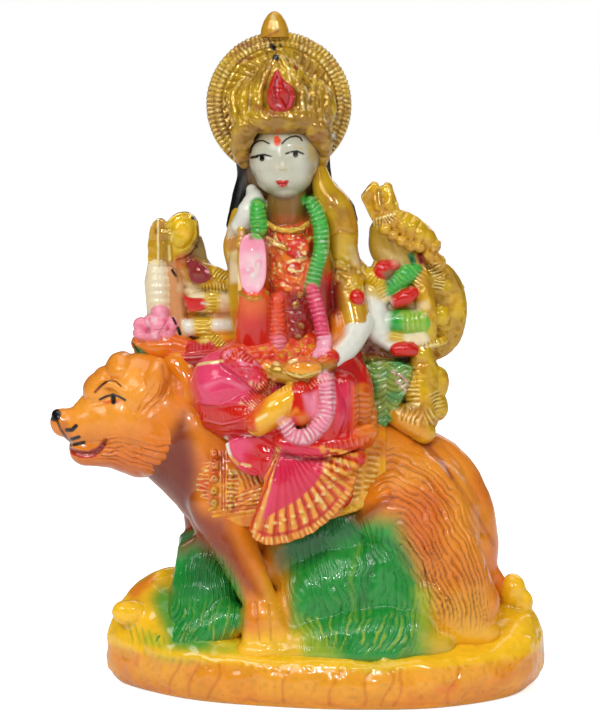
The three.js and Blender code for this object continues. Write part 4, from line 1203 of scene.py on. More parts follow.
        # The dark red strokes under the knee's band and under the fan's top are painted shade in the grooves there.
        cast.dab(
            ("lotus_pink", [(206, 386), (226, 379), (244, 388)], 3, 6, 0.4),
            ("pink", [(196, 401), (222, 404), (248, 400)], 2, 3, 0.5),
            ("lotus_pink", [(204, 420), (222, 424), (240, 420)], 1.2, 2, 0.4),
            ("resin_white", [(226, 438), (228, 450), (230, 456)], 4, 2, 0.95),
            ("gold_yellow", [(230, 456), (238, 464)], 3, 2, 0.7), ("gold_light", [(242, 464), (250, 466)], 2.4, 2, 0.8),
            ("gold_light", [(190, 366), (206, 363), (222, 361)], 2.6, 2, 0.9),
            ("gold_light", [(257, 420), (266, 415)], 3, 3, 0.9),
            ("rock_orange", [(258, 430), (280, 424), (296, 410)], 4, 6, 0.7),
            ("red_dark", [(186, 434), (225, 436), (256, 436)], 3, 5, 0.7),
            ("red_dark", [(284, 452), (300, 460), (330, 460)], 4, 5, 0.8),
            ("gold_light", [(290, 362), (296, 360)], 3, 2, 0.9), ("gold_light", [(275, 363), (277, 364)], 4, 2, 0.9),
            ("gold_light", [(284, 372), (300, 377), (320, 371)], 1.6, 1.4, 0.7),
            ("red", [(262, 356), (272, 360)], 5, 5, 0.6), ("lion_orange", [(288, 368), (316, 368)], 8, 5, 0.7))
        # lighter pink on the crests of the red folds: painted highlights
        folds = front * cast.mask("red") * (1 - fan)
        cast.spray("pink", 0.35 * folds * cast.stands(0.1, 0.6, 5))
        cast.fleck("lotus_pink", 0.5 * folds * cast.stands(0.1, 0.4), 3, 0.3, 5)
        # the back of the skirt is gathered and has a gold hem
        away = cast.faces_back() * (1 - fan)
        cast.emboss(2.4 * away * (wave((x - 288) / 12 + 0.7 * grain(cast.points, 26, 48)) - 0.5))
        cast.mottle("pink", 0.5 * away, 0.3, 0.7, 30, 49)
        cast.spray("gold_yellow", 0.8 * away * step(306, 300, cast.points[:, 2]))
        cast.gild("gold", "gold_bright")
        # white glints on the garland's crests and pale gold glints elsewhere on what stands out: painted highlights
        strung = cast.mask("pink_pale") * front
        cast.fleck("resin_white", 0.7 * strung * cast.stands(0.05, 0.3), 3, 0.4, 41)
        cast.fleck("gold_light", 0.6 * front * (1 - strung) * (1 - pink) * cast.stands(0.2, 0.45), 4, 0.3, 43)
        cast.shade(0.45 * (1 - 0.7 * strung) * cast.stands(0.0, -0.8, 4))
        cast.finish(painted_resin("skirt red", gloss=0.2), triangles=140000)
        return {"FINISHED"}


# ---------------------------------------------------------------- the torso, shawl and front arms

def torso_shapes():
    body = [
        grid_tubes([[(2, -8, 330, 50), (-2, -8, 366, 42), (-9, -6, 412, 48), (-11, -4, 450, 46), (-12, -3, 474, 24)]],
                   "red_orange", 0.66),
        grid_tubes([[(-52, 4, 448, 17), (-12, 2, 464, 20), (40, 4, 450, 18)]], "ochre"),
        grid_tubes([[(-13, -2, 468, 22), (-13, -5, 506, 19)]], "neck_brown"),
        # the front of the blouse between the garlands, and the waist
        tubes([[(289, 243, -30, 18), (292, 270, -34, 22), (294, 300, -34, 20), (296, 336, -40, 18)]],
              "red_orange", 0.7),
    ]
    shawl = [
        ball((-10, 14, 430), (57, 24, 98), "ochre"),
        slab([(236, 228), (262, 200), (310, 198), (352, 230), (360, 290), (346, 350), (236, 350), (230, 280)], 20, 30,
             "ochre"),
        tubes([[(252, 190, -2, 6), (254, 200, -8, 11), (250, 212, -12, 13), (240, 226, -8, 9)]], "resin_white"),
        tubes([[(238, 214, 0, 7), (231, 234, 0, 5), (229, 246, 0, 6), (234, 266, 0, 7), (240, 290, 0, 10)]], "ochre"),
        tubes([[(320, 172, -4, 8), (324, 188, -8, 12), (334, 206, -10, 17), (340, 228, -10, 18), (341, 250, -8, 17),
                (347, 272, -8, 16), (352, 292, -8, 13)]], "ochre"),
        tubes([[(351, 240, -4, 6), (352, 258, -4, 7), (361, 272, -6, 8)]], "ochre"),
    ]
    arms = [
        grid_tubes([[(-52, 0, 446, 18), (-54, -18, 396, 17), (-46, -36, 346, 17)]], "ochre"),
        tubes([[(253, 352, -40, 20), (254, 326, -50, 18), (254, 298, -56, 15)]], "red_orange"),
        slab([(246, 234), (253, 232), (260, 234), (265, 241), (267, 260), (266, 280), (260, 290), (251, 292),
              (243, 287), (239, 275), (239, 252), (241, 240)], -52, 17, "pink_pale"),
        egg(253, 264, -64, (11, 7, 24), "pink_pale"),
        tubes([[(240, 293, -60, 2.5), (253, 299, -70, 2.6), (267, 293, -60, 2.5)]], "gold"),
        grid_tubes([[(40, 2, 446, 17), (46, -12, 410, 17), (54, -26, 372, 16)]], "ochre"),
        grid_tubes([[(58, -24, 372, 15), (48, -42, 354, 13), (30, -58, 338, 12)]], "resin_white"),
        tubes([[(338, 318, -28, 9), (339, 332, -34, 9), (333, 346, -44, 9)]], "lion_orange"),
        egg(328, 358, -66, (11, 8, 10), "red"),
    ]
    jewels = [
        tubes([[(266, 222, -34, 2.4), (278, 229, -42, 2.8), (296, 230, -43, 2.8), (308, 223, -36, 2.4)]],
              "gold_bright"),
        tubes([[(268, 238, -40, 2.6), (282, 247, -46, 3), (300, 249, -46, 3), (310, 238, -42, 2.4)]], "gold"),
        egg(297, 248, -46, (12, 6, 11), "red"), egg(293, 268, -48, (6.5, 5, 6.5), "red"),
        [bead(a, d, -52, 3.6, "gold_bright") for a, d in ((300, 295), (296, 305), (301, 326), (298, 337), (303, 349))],
        tubes([[(258, 208, -26, 7), (258, 218, -32, 8.6), (259, 228, -36, 8.4)]], "garland_green"),
        tubes([[(310, 202, -16, 6), (317, 214, -28, 7.6), (321, 230, -37, 8), (321, 250, -41, 8),
                (316, 268, -44, 7.6), (311, 288, -46, 7)]], "garland_green"),
        tubes([[(313, 290, -47, 7), (318, 310, -51, 7.4), (322, 330, -55, 7.4), (324, 346, -60, 8),
                (316, 357, -63, 5)]], "pink"),
        tubes([[(276, 300, -46, 8), (277, 320, -50, 8.4), (278, 340, -54, 9), (277, 354, -58, 8)]], "red_orange"),
        beads([(239, 220, -12, 4.6), (243, 232, -16, 5), (240, 245, -18, 4.6)], 6, "gold_yellow"),
        beads([(338, 264, -26, 5), (350, 269, -22, 5.2), (361, 277, -14, 4.6)], 6, "gold"),
        beads([(337, 278, -26, 5), (349, 284, -24, 5.2), (361, 290, -14, 4.6)], 6, "gold"),
        egg(357, 298, -31, (8, 7, 8.4), "red"), egg(344, 304, -20, (9, 8, 9), "ochre"),
    ]
    return [body, shawl, arms, jewels]


WAIST = [(284, 290), (308, 290), (316, 350), (284, 352)]


class FIGURINE_OT_torso(bpy.types.Operator):
    """Adds the torso with its jewels and garlands, the shawl, and the two front arms"""
    bl_idname = "figurine.torso"
    bl_label = "Torso"

    def execute(self, context):
        cast = Cast("torso", torso_shapes(), 1.0, soften=4)
        x, y, front = cast.across, cast.down, cast.faces_front()
        cast.mould(([(326, 240), (340, 230), (356, 234)], 2, 4, -1.4), ([(332, 206), (344, 222)], 3, 6, -1.0),
                   ([(328, 244), (334, 262), (332, 290)], 3, 5, -1.2), ([(344, 240), (348, 262)], 3, 5, 0.8))
        # fine strings over the blouse, which turn round the pendants
        chest = cast.area([(268, 228), (308, 226), (306, 262), (300, 288), (286, 292), (270, 286), (268, 250)], 4)
        string = ridge(np.hypot((x - 294) / 1.0, (y - 226) / 1.6) / 6.5 + 0.5 * grain(cast.points, 9, 5))
        cast.emboss(1.6 * chest * (string - 0.5) * cast.mask("red_orange") * (0.5 + grain(cast.points, 6, 3)))
        cast.fill(
            ("red_dark", [(286, 292), (306, 290), (314, 322), (306, 348), (290, 346), (286, 318)], 7, 0.9),
            ("gold_yellow", [(328, 236), (348, 236), (350, 262), (340, 270), (327, 258)], 8, 0.55),
            ("gold_brown", [(322, 184), (336, 190), (350, 214), (340, 222), (328, 206)], 8, 0.5),
            ("gold_yellow", [(318, 166), (328, 168), (332, 186), (322, 184)], 5, 0.5),
            ("tan", [(226, 230), (234, 230), (235, 250), (226, 250)], 4, 0.7),
            ("resin_white", [(226, 226), (236, 222), (234, 236), (228, 238)], 3, 0.7),
            ("cream", [(228, 252), (239, 250), (240, 282), (230, 284)], 3, 0.9),
            ("lion_deep", [(236, 298), (272, 298), (274, 322), (236, 322)], 8, 0.7),
            ("red", [(240, 316), (274, 312), (276, 358), (236, 358)], 14, 0.95),
            ("red_orange", [(306, 240), (314, 240), (312, 290), (302, 292)], 4, 0.8),
            ("red_dark", [(322, 282), (340, 282), (340, 324), (326, 322)], 8, 0.9),
            ("ochre", [(324, 234), (336, 236), (338, 270), (326, 274)], 6, 0.95),
            ("red", [(320, 272), (337, 270), (335, 292), (318, 292)], 6, 0.6),
            ("red_dark", [(324, 286), (338, 286), (338, 320), (328, 318)], 8, 0.75),
            ("lion_orange", [(330, 316), (344, 316), (346, 336), (334, 350), (328, 340)], 6, 0.8),
            ("lotus_pink", [(241, 234), (265, 234), (266, 250), (241, 250)], 9, 0.9),
            # a painted highlight on the palm's lower part
            ("resin_white", [(247, 256), (260, 256), (259, 280), (254, 285), (249, 282)], 9, 0.6),
            ("olive", [(249, 235), (253.5, 235), (253.5, 239.5), (249, 239.5)], 1.5, 0.8),
            ("leaf_dark", [(299, 199), (309, 199), (306, 219), (299, 218)], 4, 0.9),
            ("neck_brown", [(268, 198), (306, 198), (308, 222), (268, 222)], 5, 0.8),
            ("red_orange", [(272, 216), (306, 216), (304, 224), (274, 224)], 7, 0.35),
            ("cream", [(346, 246), (356, 246), (362, 268), (352, 264)], 4, 0.6))
        # the garlands' pale crests are painted highlights and their dark grooves painted shade
        cast.ribbed([(258, 206), (259, 231)], 17, 4.8, 1.5, "garland_green", "leaf_lime", "leaf_dark", paint=0.22)
        cast.ribbed([(309, 200), (316, 212), (321, 230), (321, 250), (316, 268), (311, 290)], 15, 4.8, 1.5,
                    "garland_green", "resin_white", "leaf_dark", paint=0.2)
        cast.ribbed([(312, 290), (317, 310), (322, 330), (323, 342)], 14, 4.8, 1.4, "pink", "pink_pale", "red_dark",
                    paint=0.35)
        cast.ribbed([(276, 300), (277, 320), (278, 354)], 16, 4.6, 1.1, "red_orange", "lotus_pink", "red", paint=0.25)
        cast.spray("lotus_pink", 0.6 * cast.area([(272, 336), (286, 336), (286, 358), (268, 356)], 8))
        cast.spray("pink_pale", 0.9 * cast.area([(318, 338), (332, 334), (330, 350), (314, 360), (311, 350)], 4))
        cast.mottle("gold_yellow", 0.5 * cast.mask("ochre"), 0.4, 0.75, 14, 15)
        palm = cast.area([(241, 238), (265, 238), (266, 284), (254, 290), (242, 284)], 6) * cast.mask("pink_pale")
        cast.roughen(1.4 * palm, 6, 44)
        cast.fleck("lotus_pink", 0.6 * palm, 7, 0.4, 45)
        # white glints low on the palm: painted highlights
        cast.fleck("resin_white", 0.7 * palm * step(252, 258, y), 5, 0.35, 46)
        armlet = cast.area([(334, 256), (352, 258), (372, 272), (366, 292), (334, 290)], 6) * cast.mask("ochre", "gold")
        cast.roughen(2.4 * armlet, 5, 17)
        cast.fleck("gold_light", 0.8 * armlet, 3.6, 0.35, 8)
        rise = cast.rise(3)
        cast.spray("rock_orange", 0.5 * chest * step(0.4, 0.8, grain(cast.points, 6, 12)) * cast.mask("red_orange"))
        cast.mottle("lion_orange", 0.4 * chest, 0.5, 0.8, 9, 27)
        cast.fleck("gold_light", 0.9 * chest * step(0.2, 0.7, string), 2.4, 0.3, 4)
        cast.fleck("gold_light", 0.9 * chest * step(0.5, 0.9, string), 5, 0.25, 14)
        cast.roughen(2.4 * (chest + cast.area(WAIST, 5)), 4, 13)
        waist = cast.area(WAIST, 5)
        # bright gold glints on what stands out at the waist: painted highlights
        cast.fleck("gold_bright", 0.8 * waist * step(0.0, 0.3, rise), 3, 0.4, 6)
        # The white stroke down the forearm and the white dots on the two red gems are painted highlights.
        cast.dab(
            ("resin_white", [(352, 330), (346, 340), (340, 350)], 3, 2, 0.9),
            ("ochre", [(239, 236), (238, 262), (241, 290)], 2, 2.4, 0.8),
            ("ochre", [(267, 290), (269, 262), (267, 240)], 2, 2.4, 0.6),
            ("gold_light", [(270, 244), (282, 244)], 3.4, 2, 0.8), ("gold_light", [(288, 262), (306, 258)], 3, 2, 0.7),
            ("resin_white", [(298, 252), (300, 258)], 2, 1.6, 0.6),
            ("resin_white", [(291, 266), (293, 266)], 2.4, 1.6, 0.8))
        # darker red where the reds lie deep: painted shade
        cast.spray("red_dark", 0.7 * cast.mask("red_orange", "red") * step(-0.1, -0.5, rise))
        # the back of the shawl hangs in plain folds
        away = cast.faces_back() * cast.mask("ochre")
        cast.emboss(2.6 * away * (wave((x - 288) / 15 + 0.7 * grain(cast.points, 30, 47)) - 0.5))
        cast.gild("gold", "gold_bright", "gold_yellow")
        cast.gild("ochre", high=0.25, low=0.5)
        strung = cast.mask("garland_green", "pink") * front
        # white glints on the garlands' crests: painted highlights
        cast.fleck("resin_white", 0.5 * strung * cast.stands(0.05, 0.3), 3, 0.3, 42)
        cast.shade(0.4 * (1 - 0.6 * strung) * cast.stands(0.0, -0.7, 4))
        cast.finish(painted_resin("torso", gloss=0.24), triangles=140000)
        return {"FINISHED"}


# ---------------------------------------------------------------- the head

def face_shapes():
    f = "face_white"
    return [
        egg(284, 157, -8, (35, 34, 34), f), egg(284, 173, -11, (29, 29, 24), f), egg(285, 187, -18, (16, 15, 13), f),
        tubes([[(281, 150, -35, 2.6), (282, 158, -37.5, 3.0), (283, 166, -39.5, 4.0)]], f),
        egg(283, 168, -38.5, (5.4, 4.0, 2.6), f),
        egg(282, 181.5, -38.5, (6, 3.2, 2.0), f), egg(282.5, 185.2, -37.5, (5, 3.2, 2.2), f),
        # hair down the back and at both sides
        ball((-15, 12, 530), (45, 30, 46), "black"),
        grid_tubes([[(-15, 20, 530, 36), (-15, 40, 478, 34), (-15, 56, 420, 26), (-15, 56, 368, 10)]], "black", 0.4),
        tubes([[(243, 162, 2, 7), (244, 176, 2, 7), (240, 192, 4, 7), (236, 208, 4, 6.4), (231, 225, 4, 5)]], "black"),
        tubes([[(324, 160, 4, 6), (326, 172, 4, 5), (328, 184, 4, 5), (336, 195, 4, 6), (346, 205, 4, 7),
                (352, 220, 4, 6)]], "black"),
    ]


class FIGURINE_OT_head(bpy.types.Operator):
    """Adds the head, with its painted face and its hair"""
    bl_idname = "figurine.head"
    bl_label = "Head"

    def execute(self, context):
        cast = Cast("head", face_shapes(), 0.76, soften=10)
        away = cast.faces_back() * cast.mask("black")
        cast.emboss(1.4 * away * (wave(cast.across / 5.5 + 0.5 * grain(cast.points, 16, 34)) - 0.5))
        cast.mould(([(254, 156), (268, 156)], 8, 12, -1.1), ([(288, 153), (302, 153)], 8, 12, -1.1),
                   ([(256, 159), (267, 159)], 4, 5, 0.6), ([(290, 156), (301, 156)], 4, 5, 0.6),
                   ([(276, 183.6), (282, 184.2), (289, 183)], 0.8, 1.6, -0.8))
        # The brown at the face's edges, under the jaw and below the crown is partly gold overspray and partly painted
        # shade.
        cast.fill(
            ("neck_brown", [(246, 150), (250, 150), (252, 176), (262, 192), (280, 200), (300, 200), (312, 188),
                            (319, 160), (326, 160), (322, 204), (250, 206)], 9, 0.55),
            ("neck_brown", [(309, 150), (320, 150), (318, 182), (304, 196), (282, 202), (262, 194), (250, 178),
                            (254, 172), (266, 188), (284, 196), (300, 190), (311, 176)], 9, 0.5),
            ("neck_brown", [(262, 190), (272, 196), (284, 199), (298, 196), (306, 190), (308, 202), (262, 204)],
             6, 0.6),
            ("gold_yellow", [(308, 142), (314, 146), (317, 165), (311, 160)], 5, 0.6),
            ("neck_brown", [(250, 134), (315, 130), (316, 139), (284, 135), (252, 146)], 5, 0.5),
            ("red", [(275.5, 181), (280.5, 180), (283, 181.2), (286, 180), (289, 180.4), (286.5, 185.5), (282, 187.4),
                     (277.5, 184.6)],
             1.0, 1.0),
            ("red_orange", [(274, 137), (277.5, 135), (281.5, 140.5), (278, 147), (274, 144.5)], 1.2, 1.0))
        # The white strokes down the nose and over the cheeks, and the cream at the nose's tip, are painted highlights.
        cast.dab(
            ("black", [(250.5, 152.5), (251.5, 147.5), (254, 143.5), (258, 141), (263, 140.6), (269, 143.5)],
             1.7, 1.0, 1.0),
            ("black", [(282, 143.5), (286, 139.5), (290.5, 137), (296, 136), (300, 137.5), (302, 140.5)],
             1.7, 1.0, 1.0),
            ("black", [(251, 157.5), (258, 155.5), (264, 154.6), (271, 156.6)], 2.1, 1.0, 1.0),
            ("black", [(286, 153.6), (292, 151.8), (297, 151), (303.5, 154)], 1.9, 1.0, 1.0),
            ("black", [(251.5, 157.5), (257, 156.8)], 2.6, 1.0, 1.0),
            ("resin_white", [(267, 158.5), (271, 158)], 3, 3, 0.5),
            ("resin_white", [(300, 156), (303, 156)], 3, 3, 0.5),
            ("black", [(262, 157.5), (262, 159)], 5.0, 1.0, 1.0),
            ("black", [(295.5, 153.5), (295.5, 155)], 5.2, 1.0, 1.0),
            ("red_dark", [(278, 183.6), (282, 184.4), (287, 183.2)], 1.0, 0.8, 0.9),
            ("gold_yellow", [(294, 147), (303, 149)], 1.6, 3, 0.5),
            ("resin_white", [(279, 147), (280, 155)], 2.2, 2.4, 0.7), ("cream", [(278, 167), (286, 168)], 5, 4, 0.4),
            ("resin_white", [(262, 168), (266, 178)], 8, 12, 0.25),
            ("resin_white", [(298, 162), (302, 176)], 9, 12, 0.35))
        cast.shade(0.2 * cast.stands(0.0, -0.6, 4))
        cast.finish(painted_resin("porcelain white", gloss=0.26, blush=0.08, fleck=0.02), triangles=64000)
        return {"FINISHED"}


# ---------------------------------------------------------------- the crown and halo

HALO = (279, 104)


def crown_shapes():
    g = "gold"
    leaves = [
        [(236, 118, -14, 5), (232, 104, -12, 5), (236, 90, -8, 4), (246, 80, -4, 3)],
        [(248, 118, -24, 5), (244, 104, -20, 5), (247, 90, -14, 4), (256, 76, -8, 3)],
    ]
    leaves += [[(2 * HALO[0] - a, *rest) for a, *rest in leaf] for leaf in leaves]
    disc = turned([(0, -4), (52, -4), (58, -6), (71, -5), (72.3, 0), (71, 5), (58, 6), (52, 4), (0, 4)], 96, g,
                  lambda p: np.stack([p[:, 0] - 21, 24 + p[:, 2], 585 + p[:, 1]], axis=1))
    crown = [
        # the cap fits the head closely and comes down at both temples
        ball((-16, -10, 573), (45, 35, 19), g), ball((-15, 6, 566), (48, 22, 30), g),
        tubes([[(246, 128, -26, 12), (242, 141, -18, 11), (241, 153, -10, 9), (244, 164, -4, 5)]], g),
        tubes([[(316, 128, -26, 12), (322, 141, -18, 11), (323, 153, -10, 8), (322, 164, -4, 5)]], g),
        ball((-19, -12, 592), (30, 22, 42), g), [ball((x, 0, 582), (20, 18, 28), g) for x in (-50, 16)],
        tubes([[(262, 118, -34, 5), (258, 98, -32, 5), (264, 78, -28, 4), (276, 58, -22, 3)]], g),
        tubes([[(298, 118, -34, 5), (302, 98, -32, 5), (294, 78, -28, 4), (280, 58, -22, 3)]], g),
        [tubes([leaf], g) for leaf in leaves],
        egg(281, 97, -39, (14.2, 8, 16), "red"),
        tubes([[(279, 93, -39, 11), (277.5, 83, -37, 8), (277, 73, -33, 3)]], "red"),
        tubes([[(272, 88, -43, 3), (277, 98, -47, 4.5), (283, 108, -46, 3)],
               [(282, 84, -43, 3), (289, 94, -44, 4.5), (288, 106, -43, 3)]], "red"),
    ]
    finial = turned([(0, 652), (14.6, 652), (13.4, 661), (10.6, 668.5), (6.6, 674.5), (3, 677.2), (0, 677.8)], 32,
                    "ochre", lambda p: np.stack([p[:, 0] - 25, p[:, 1] * 0.8 + 20, p[:, 2]], axis=1))
    return [disc, crown, finial]


class FIGURINE_OT_crown(bpy.types.Operator):
    """Adds the crown with its red gem, and the ribbed halo behind it"""
    bl_idname = "figurine.crown"
    bl_label = "Crown and Halo"

    def execute(self, context):
        cast = Cast("crown_and_halo", crown_shapes(), 0.9, soften=3)
        x, y, back = cast.across - HALO[0], cast.down - HALO[1], cast.points[:, 1]
        front, gold = cast.faces_front(), cast.mask("gold")
        out, turn = np.hypot(x, y), np.arctan2(y, x) / (2 * math.pi)
        disc = gold * step(11, 15, back) * front
        rim = step(56, 58, out)
        uneven = 0.7 * grain(cast.points, 13, 38)
        outer = ridge(turn * 92 + uneven) * step(64, 65, out) + ridge(turn * 80 - uneven) * step(65, 64, out)
        inner = step(57, 54, out) * step(30, 36, out)
        leaf = ridge(turn * 36 + 0.045 * out)
        cast.emboss(disc * (
            1.8 * rim * (outer - 0.4) * (0.4 + 1.1 * grain(cast.points, 9, 14))
            - 1.1 * np.exp(-(((out - 64.5) / 1.5) ** 2)) - 1.0 * np.exp(-(((out - 57) / 1.5) ** 2))
            + 1.8 * inner * (leaf - 0.5) + 1.8 * inner * (grain(cast.points, 5, 2) - 0.5)))
        smooth = cast.area([(236, 168), (234, 140), (246, 122), (270, 114), (296, 112), (318, 120), (330, 140),
                            (330, 168), (316, 164), (312, 146), (286, 139), (262, 140), (252, 150), (250, 168)], 14)
        crown = gold * step(13, 9, back) * front * (1 - smooth)
        leaves = ridge(np.hypot(x, (cast.down - 128) * 0.8) / 9 + 0.4 * np.abs(np.sin(x / 9)))
        wavy = ridge((cast.across - 279) / 8.5 + 0.5 * np.sin(cast.down / 13) + 0.6 * grain(cast.points, 14, 7))
        cast.emboss(crown * (1.6 * (wavy - 0.5) + 0.7 * (leaves - 0.5) + 1.5 * (grain(cast.points, 4.5, 5) - 0.5)))
        cast.mould(([(277, 76), (274, 88), (276, 102)], 1.6, 2.6, -2.2),
                   ([(283, 82), (289, 94), (287, 106)], 1.6, 2.6, -2.0), ([(270, 90), (272, 104)], 1.4, 2.6, -0.8))
        cast.spray("gold_brown", 0.5 * smooth * gold)
        cast.spray("neck_brown", 0.35 * smooth * gold)
        cast.roughen(smooth * gold * (1.2 + 3.0 * step(118, 140, cast.down)), 6, 16)
        cast.mottle("gold_yellow", 0.4 * smooth * gold, 0.45, 0.75, 11, 39)
        cast.spray("red_dark", 0.35 * cast.mask("red"))
        cast.mottle("lion_shadow", 0.35 * smooth * gold * step(122, 140, cast.down), 0.4, 0.7, 8, 17)
        cast.fleck("gold_brown", 0.5 * (disc + crown), 6, 0.4, 3)
        cast.gild("gold", high=0.8, low=0.65)
        cast.mottle("gold_yellow", 0.55 * (disc + crown), 0.4, 0.75, 17, 15)
        # pale gold glints on what stands out: painted highlights; then brown in the grooves between the rim's ridges:
        # painted shade
        cast.fleck("gold_light", 0.75 * (disc + crown) * cast.stands(0.0, 0.3), 3.2, 0.42, 5)
        cast.spray("gold_brown", 0.45 * disc * rim * step(0.35, 0.05, outer))
        cast.fleck("red_dark", 0.5 * disc * rim * step(0.35, 0.05, outer) * step(20, -30, x), 9, 0.6, 6)
        # Painted light among these strokes: dark red in the gem's grooves is painted shade, and the pale gold strokes
        # on the side lobes, the leaf and the finial, the white dots on the halo's edge and the pale pinks on the gem
        # are painted highlights.
        cast.dab(
            ("red_dark", [(277, 78), (274, 88), (276, 102)], 2.5, 4, 0.7),
            ("red_dark", [(283, 84), (289, 94), (287, 106)], 2, 4, 0.6),
            ("gold_yellow", [(236, 96), (240, 116)], 12, 10, 0.6), ("gold_yellow", [(250, 84), (262, 100)], 8, 10, 0.4),
            ("gold_light", [(251, 94), (249, 102), (249, 111)], 2, 1.6, 0.95),
            ("gold_light", [(305, 87), (309, 96), (308, 108)], 2, 1.6, 0.95),
            ("gold_light", [(288, 68), (290, 80)], 2, 1.6, 0.95),
            ("gold_light", [(302, 102), (304, 110)], 1.6, 1.6, 0.8), ("gold_light", [(273, 17), (276, 28)], 4, 4, 0.7),
            ("red_dark", [(236, 46), (250, 44)], 4, 4, 0.6), ("red_dark", [(238, 62), (252, 57)], 4, 4, 0.6),
            ("red_dark", [(230, 56), (240, 50)], 3, 4, 0.5),
            ("lion_shadow", [(268, 36), (278, 31)], 2, 3, 0.7),
            ("lion_shadow", [(256, 107), (268, 111), (276, 115)], 6, 5, 0.6),
            ("black", [(272, 46), (274, 48)], 5.5, 2, 1.0), ("black", [(280, 45), (281, 46)], 3, 1.5, 0.9),
            ("black", [(275, 57), (277, 58)], 5.5, 2, 1.0), ("black", [(276, 54), (276, 56)], 2, 1.5, 0.9),
            ("black", [(265, 37), (266, 37)], 1.6, 1, 0.9), ("black", [(266, 53), (267, 54)], 1.4, 1, 0.7),
            ("lion_shadow", [(295, 67), (296, 68)], 4, 2, 0.9), ("lion_shadow", [(303, 79), (304, 80)], 3, 2, 0.8),
            ("resin_white", [(334, 135), (334, 137)], 4.5, 2, 0.9),
            ("resin_white", [(335, 117), (335, 119)], 2.5, 2, 0.7),
            ("pink", [(292, 96), (290, 106)], 3, 3, 0.5), ("pink_pale", [(277, 105), (280, 106)], 2.4, 2, 0.7),
            ("pink_pale", [(277, 80), (277, 86)], 1.4, 1.4, 0.5))
        cast.shade(0.4 * cast.stands(0.0, -0.6, 4))
        cast.finish(painted_resin("gilded crown", gloss=0.24, flake=0.008), triangles=110000)
        return {"FINISHED"}


# ---------------------------------------------------------------- the arms at the left

GRIP_ABOVE = [(186, 266), (190, 258), (200, 262), (213, 272), (209, 280), (193, 285)]
GRIP_BELOW = [(183, 293), (190, 298), (204, 298), (210, 304), (204, 309), (190, 312), (186, 304)]
# across, down, back, radii and tilt
PETALS = [
    (160, 313, -14, (9, 8, 9), 10), (160, 325, -17, (12, 9, 9), 0), (141, 325, -14, (8, 8, 8), 0),
    (150, 322, -16, (7, 7, 8), 0), (155, 335, -19, (8, 7, 7), 0), (171, 325, -15, (7, 7, 8), 0),
    (142, 335, -17, (10, 8, 6), 20), (167, 334, -15, (8, 8, 7), 0),
]


def left_shapes():
    masses = [
        slab([(176, 262), (190, 254), (206, 262), (224, 272), (244, 280), (244, 352), (190, 358), (178, 340)], 16, 22,
             "ochre"),
        slab([(184, 250), (200, 232), (205, 246), (208, 262), (224, 273), (224, 290), (186, 276)], 10, 14, "olive"),
        ball((-84, 16, 366), (34, 12, 42), "ochre"),
        tubes([[(240, 288, 2, 13), (216, 280, -2, 13), (198, 272, -6, 12)]], "ochre"),
        tubes([[(242, 306, 0, 14), (216, 303, -7, 13), (196, 302, -9, 10)]], "cream"),
        tubes([[(240, 327, -4, 12), (212, 327, -12, 12), (190, 327, -13, 9)]], "cream"),
        tubes([[(240, 344, -10, 11), (214, 346, -18, 11), (194, 349, -20, 9)]], "red_orange"),
    ]
    things = [
        slab([(149, 268), (149, 240), (151, 228), (155, 220), (160, 217), (165, 219), (170, 226), (173, 268)], 9, 17,
             "ochre"),
        slab([(166, 262), (167, 244), (164, 228), (171, 217), (180, 211), (190, 212), (197, 219), (199.5, 228),
              (199, 241), (194, 250), (186, 256), (177, 257), (171, 262)], 7, 16, "gold_yellow"),
        egg(183, 232, -7, (12, 8, 17), "gold_yellow", (0, 16, 0)),
        tubes([[(170, 234, -8, 3), (169, 248, -9, 3), (170, 260, -8, 3)]], "gold_yellow"),
        tubes([[(158, 268, -2, 11), (158, 282, -3, 13.5), (159, 302, -4, 13), (158, 318, -4, 11)]], "cream"),
        tubes([[(171, 262, -2, 8), (175, 285, -4, 9), (178, 318, -6, 10), (182, 342, -8, 10)]], "tan"),
    ]
    hands = [
        egg(184, 260, 4, (14, 10, 10), "red_dark"), egg(178, 268, 2, (10, 9, 14), "tan"),
        slab(GRIP_ABOVE, -9, 8, "red_dark"),
        slab(GRIP_BELOW, -12, 8, "red"),
        slab([(186, 342), (208, 340), (216, 345), (208, 356), (188, 357)], -20, 9, "red"),
        tubes([[(174, 360, -20, 10), (190, 360, -24, 9), (214, 358, -28, 8)]], "red"),
    ]
    lotus = [
        [egg(a, d, b, radii, "lotus_pink", (0, tilt, 0)) for a, d, b, radii, tilt in PETALS],
        tubes([[(140, 343, -10, 9), (154, 346, -12, 13), (172, 347, -12, 15), (188, 350, -14, 12)]], "lion_deep"),
        egg(142, 351, -12, (8, 8, 8), "lion_orange"),
    ]
    return [masses, things, hands, lotus]


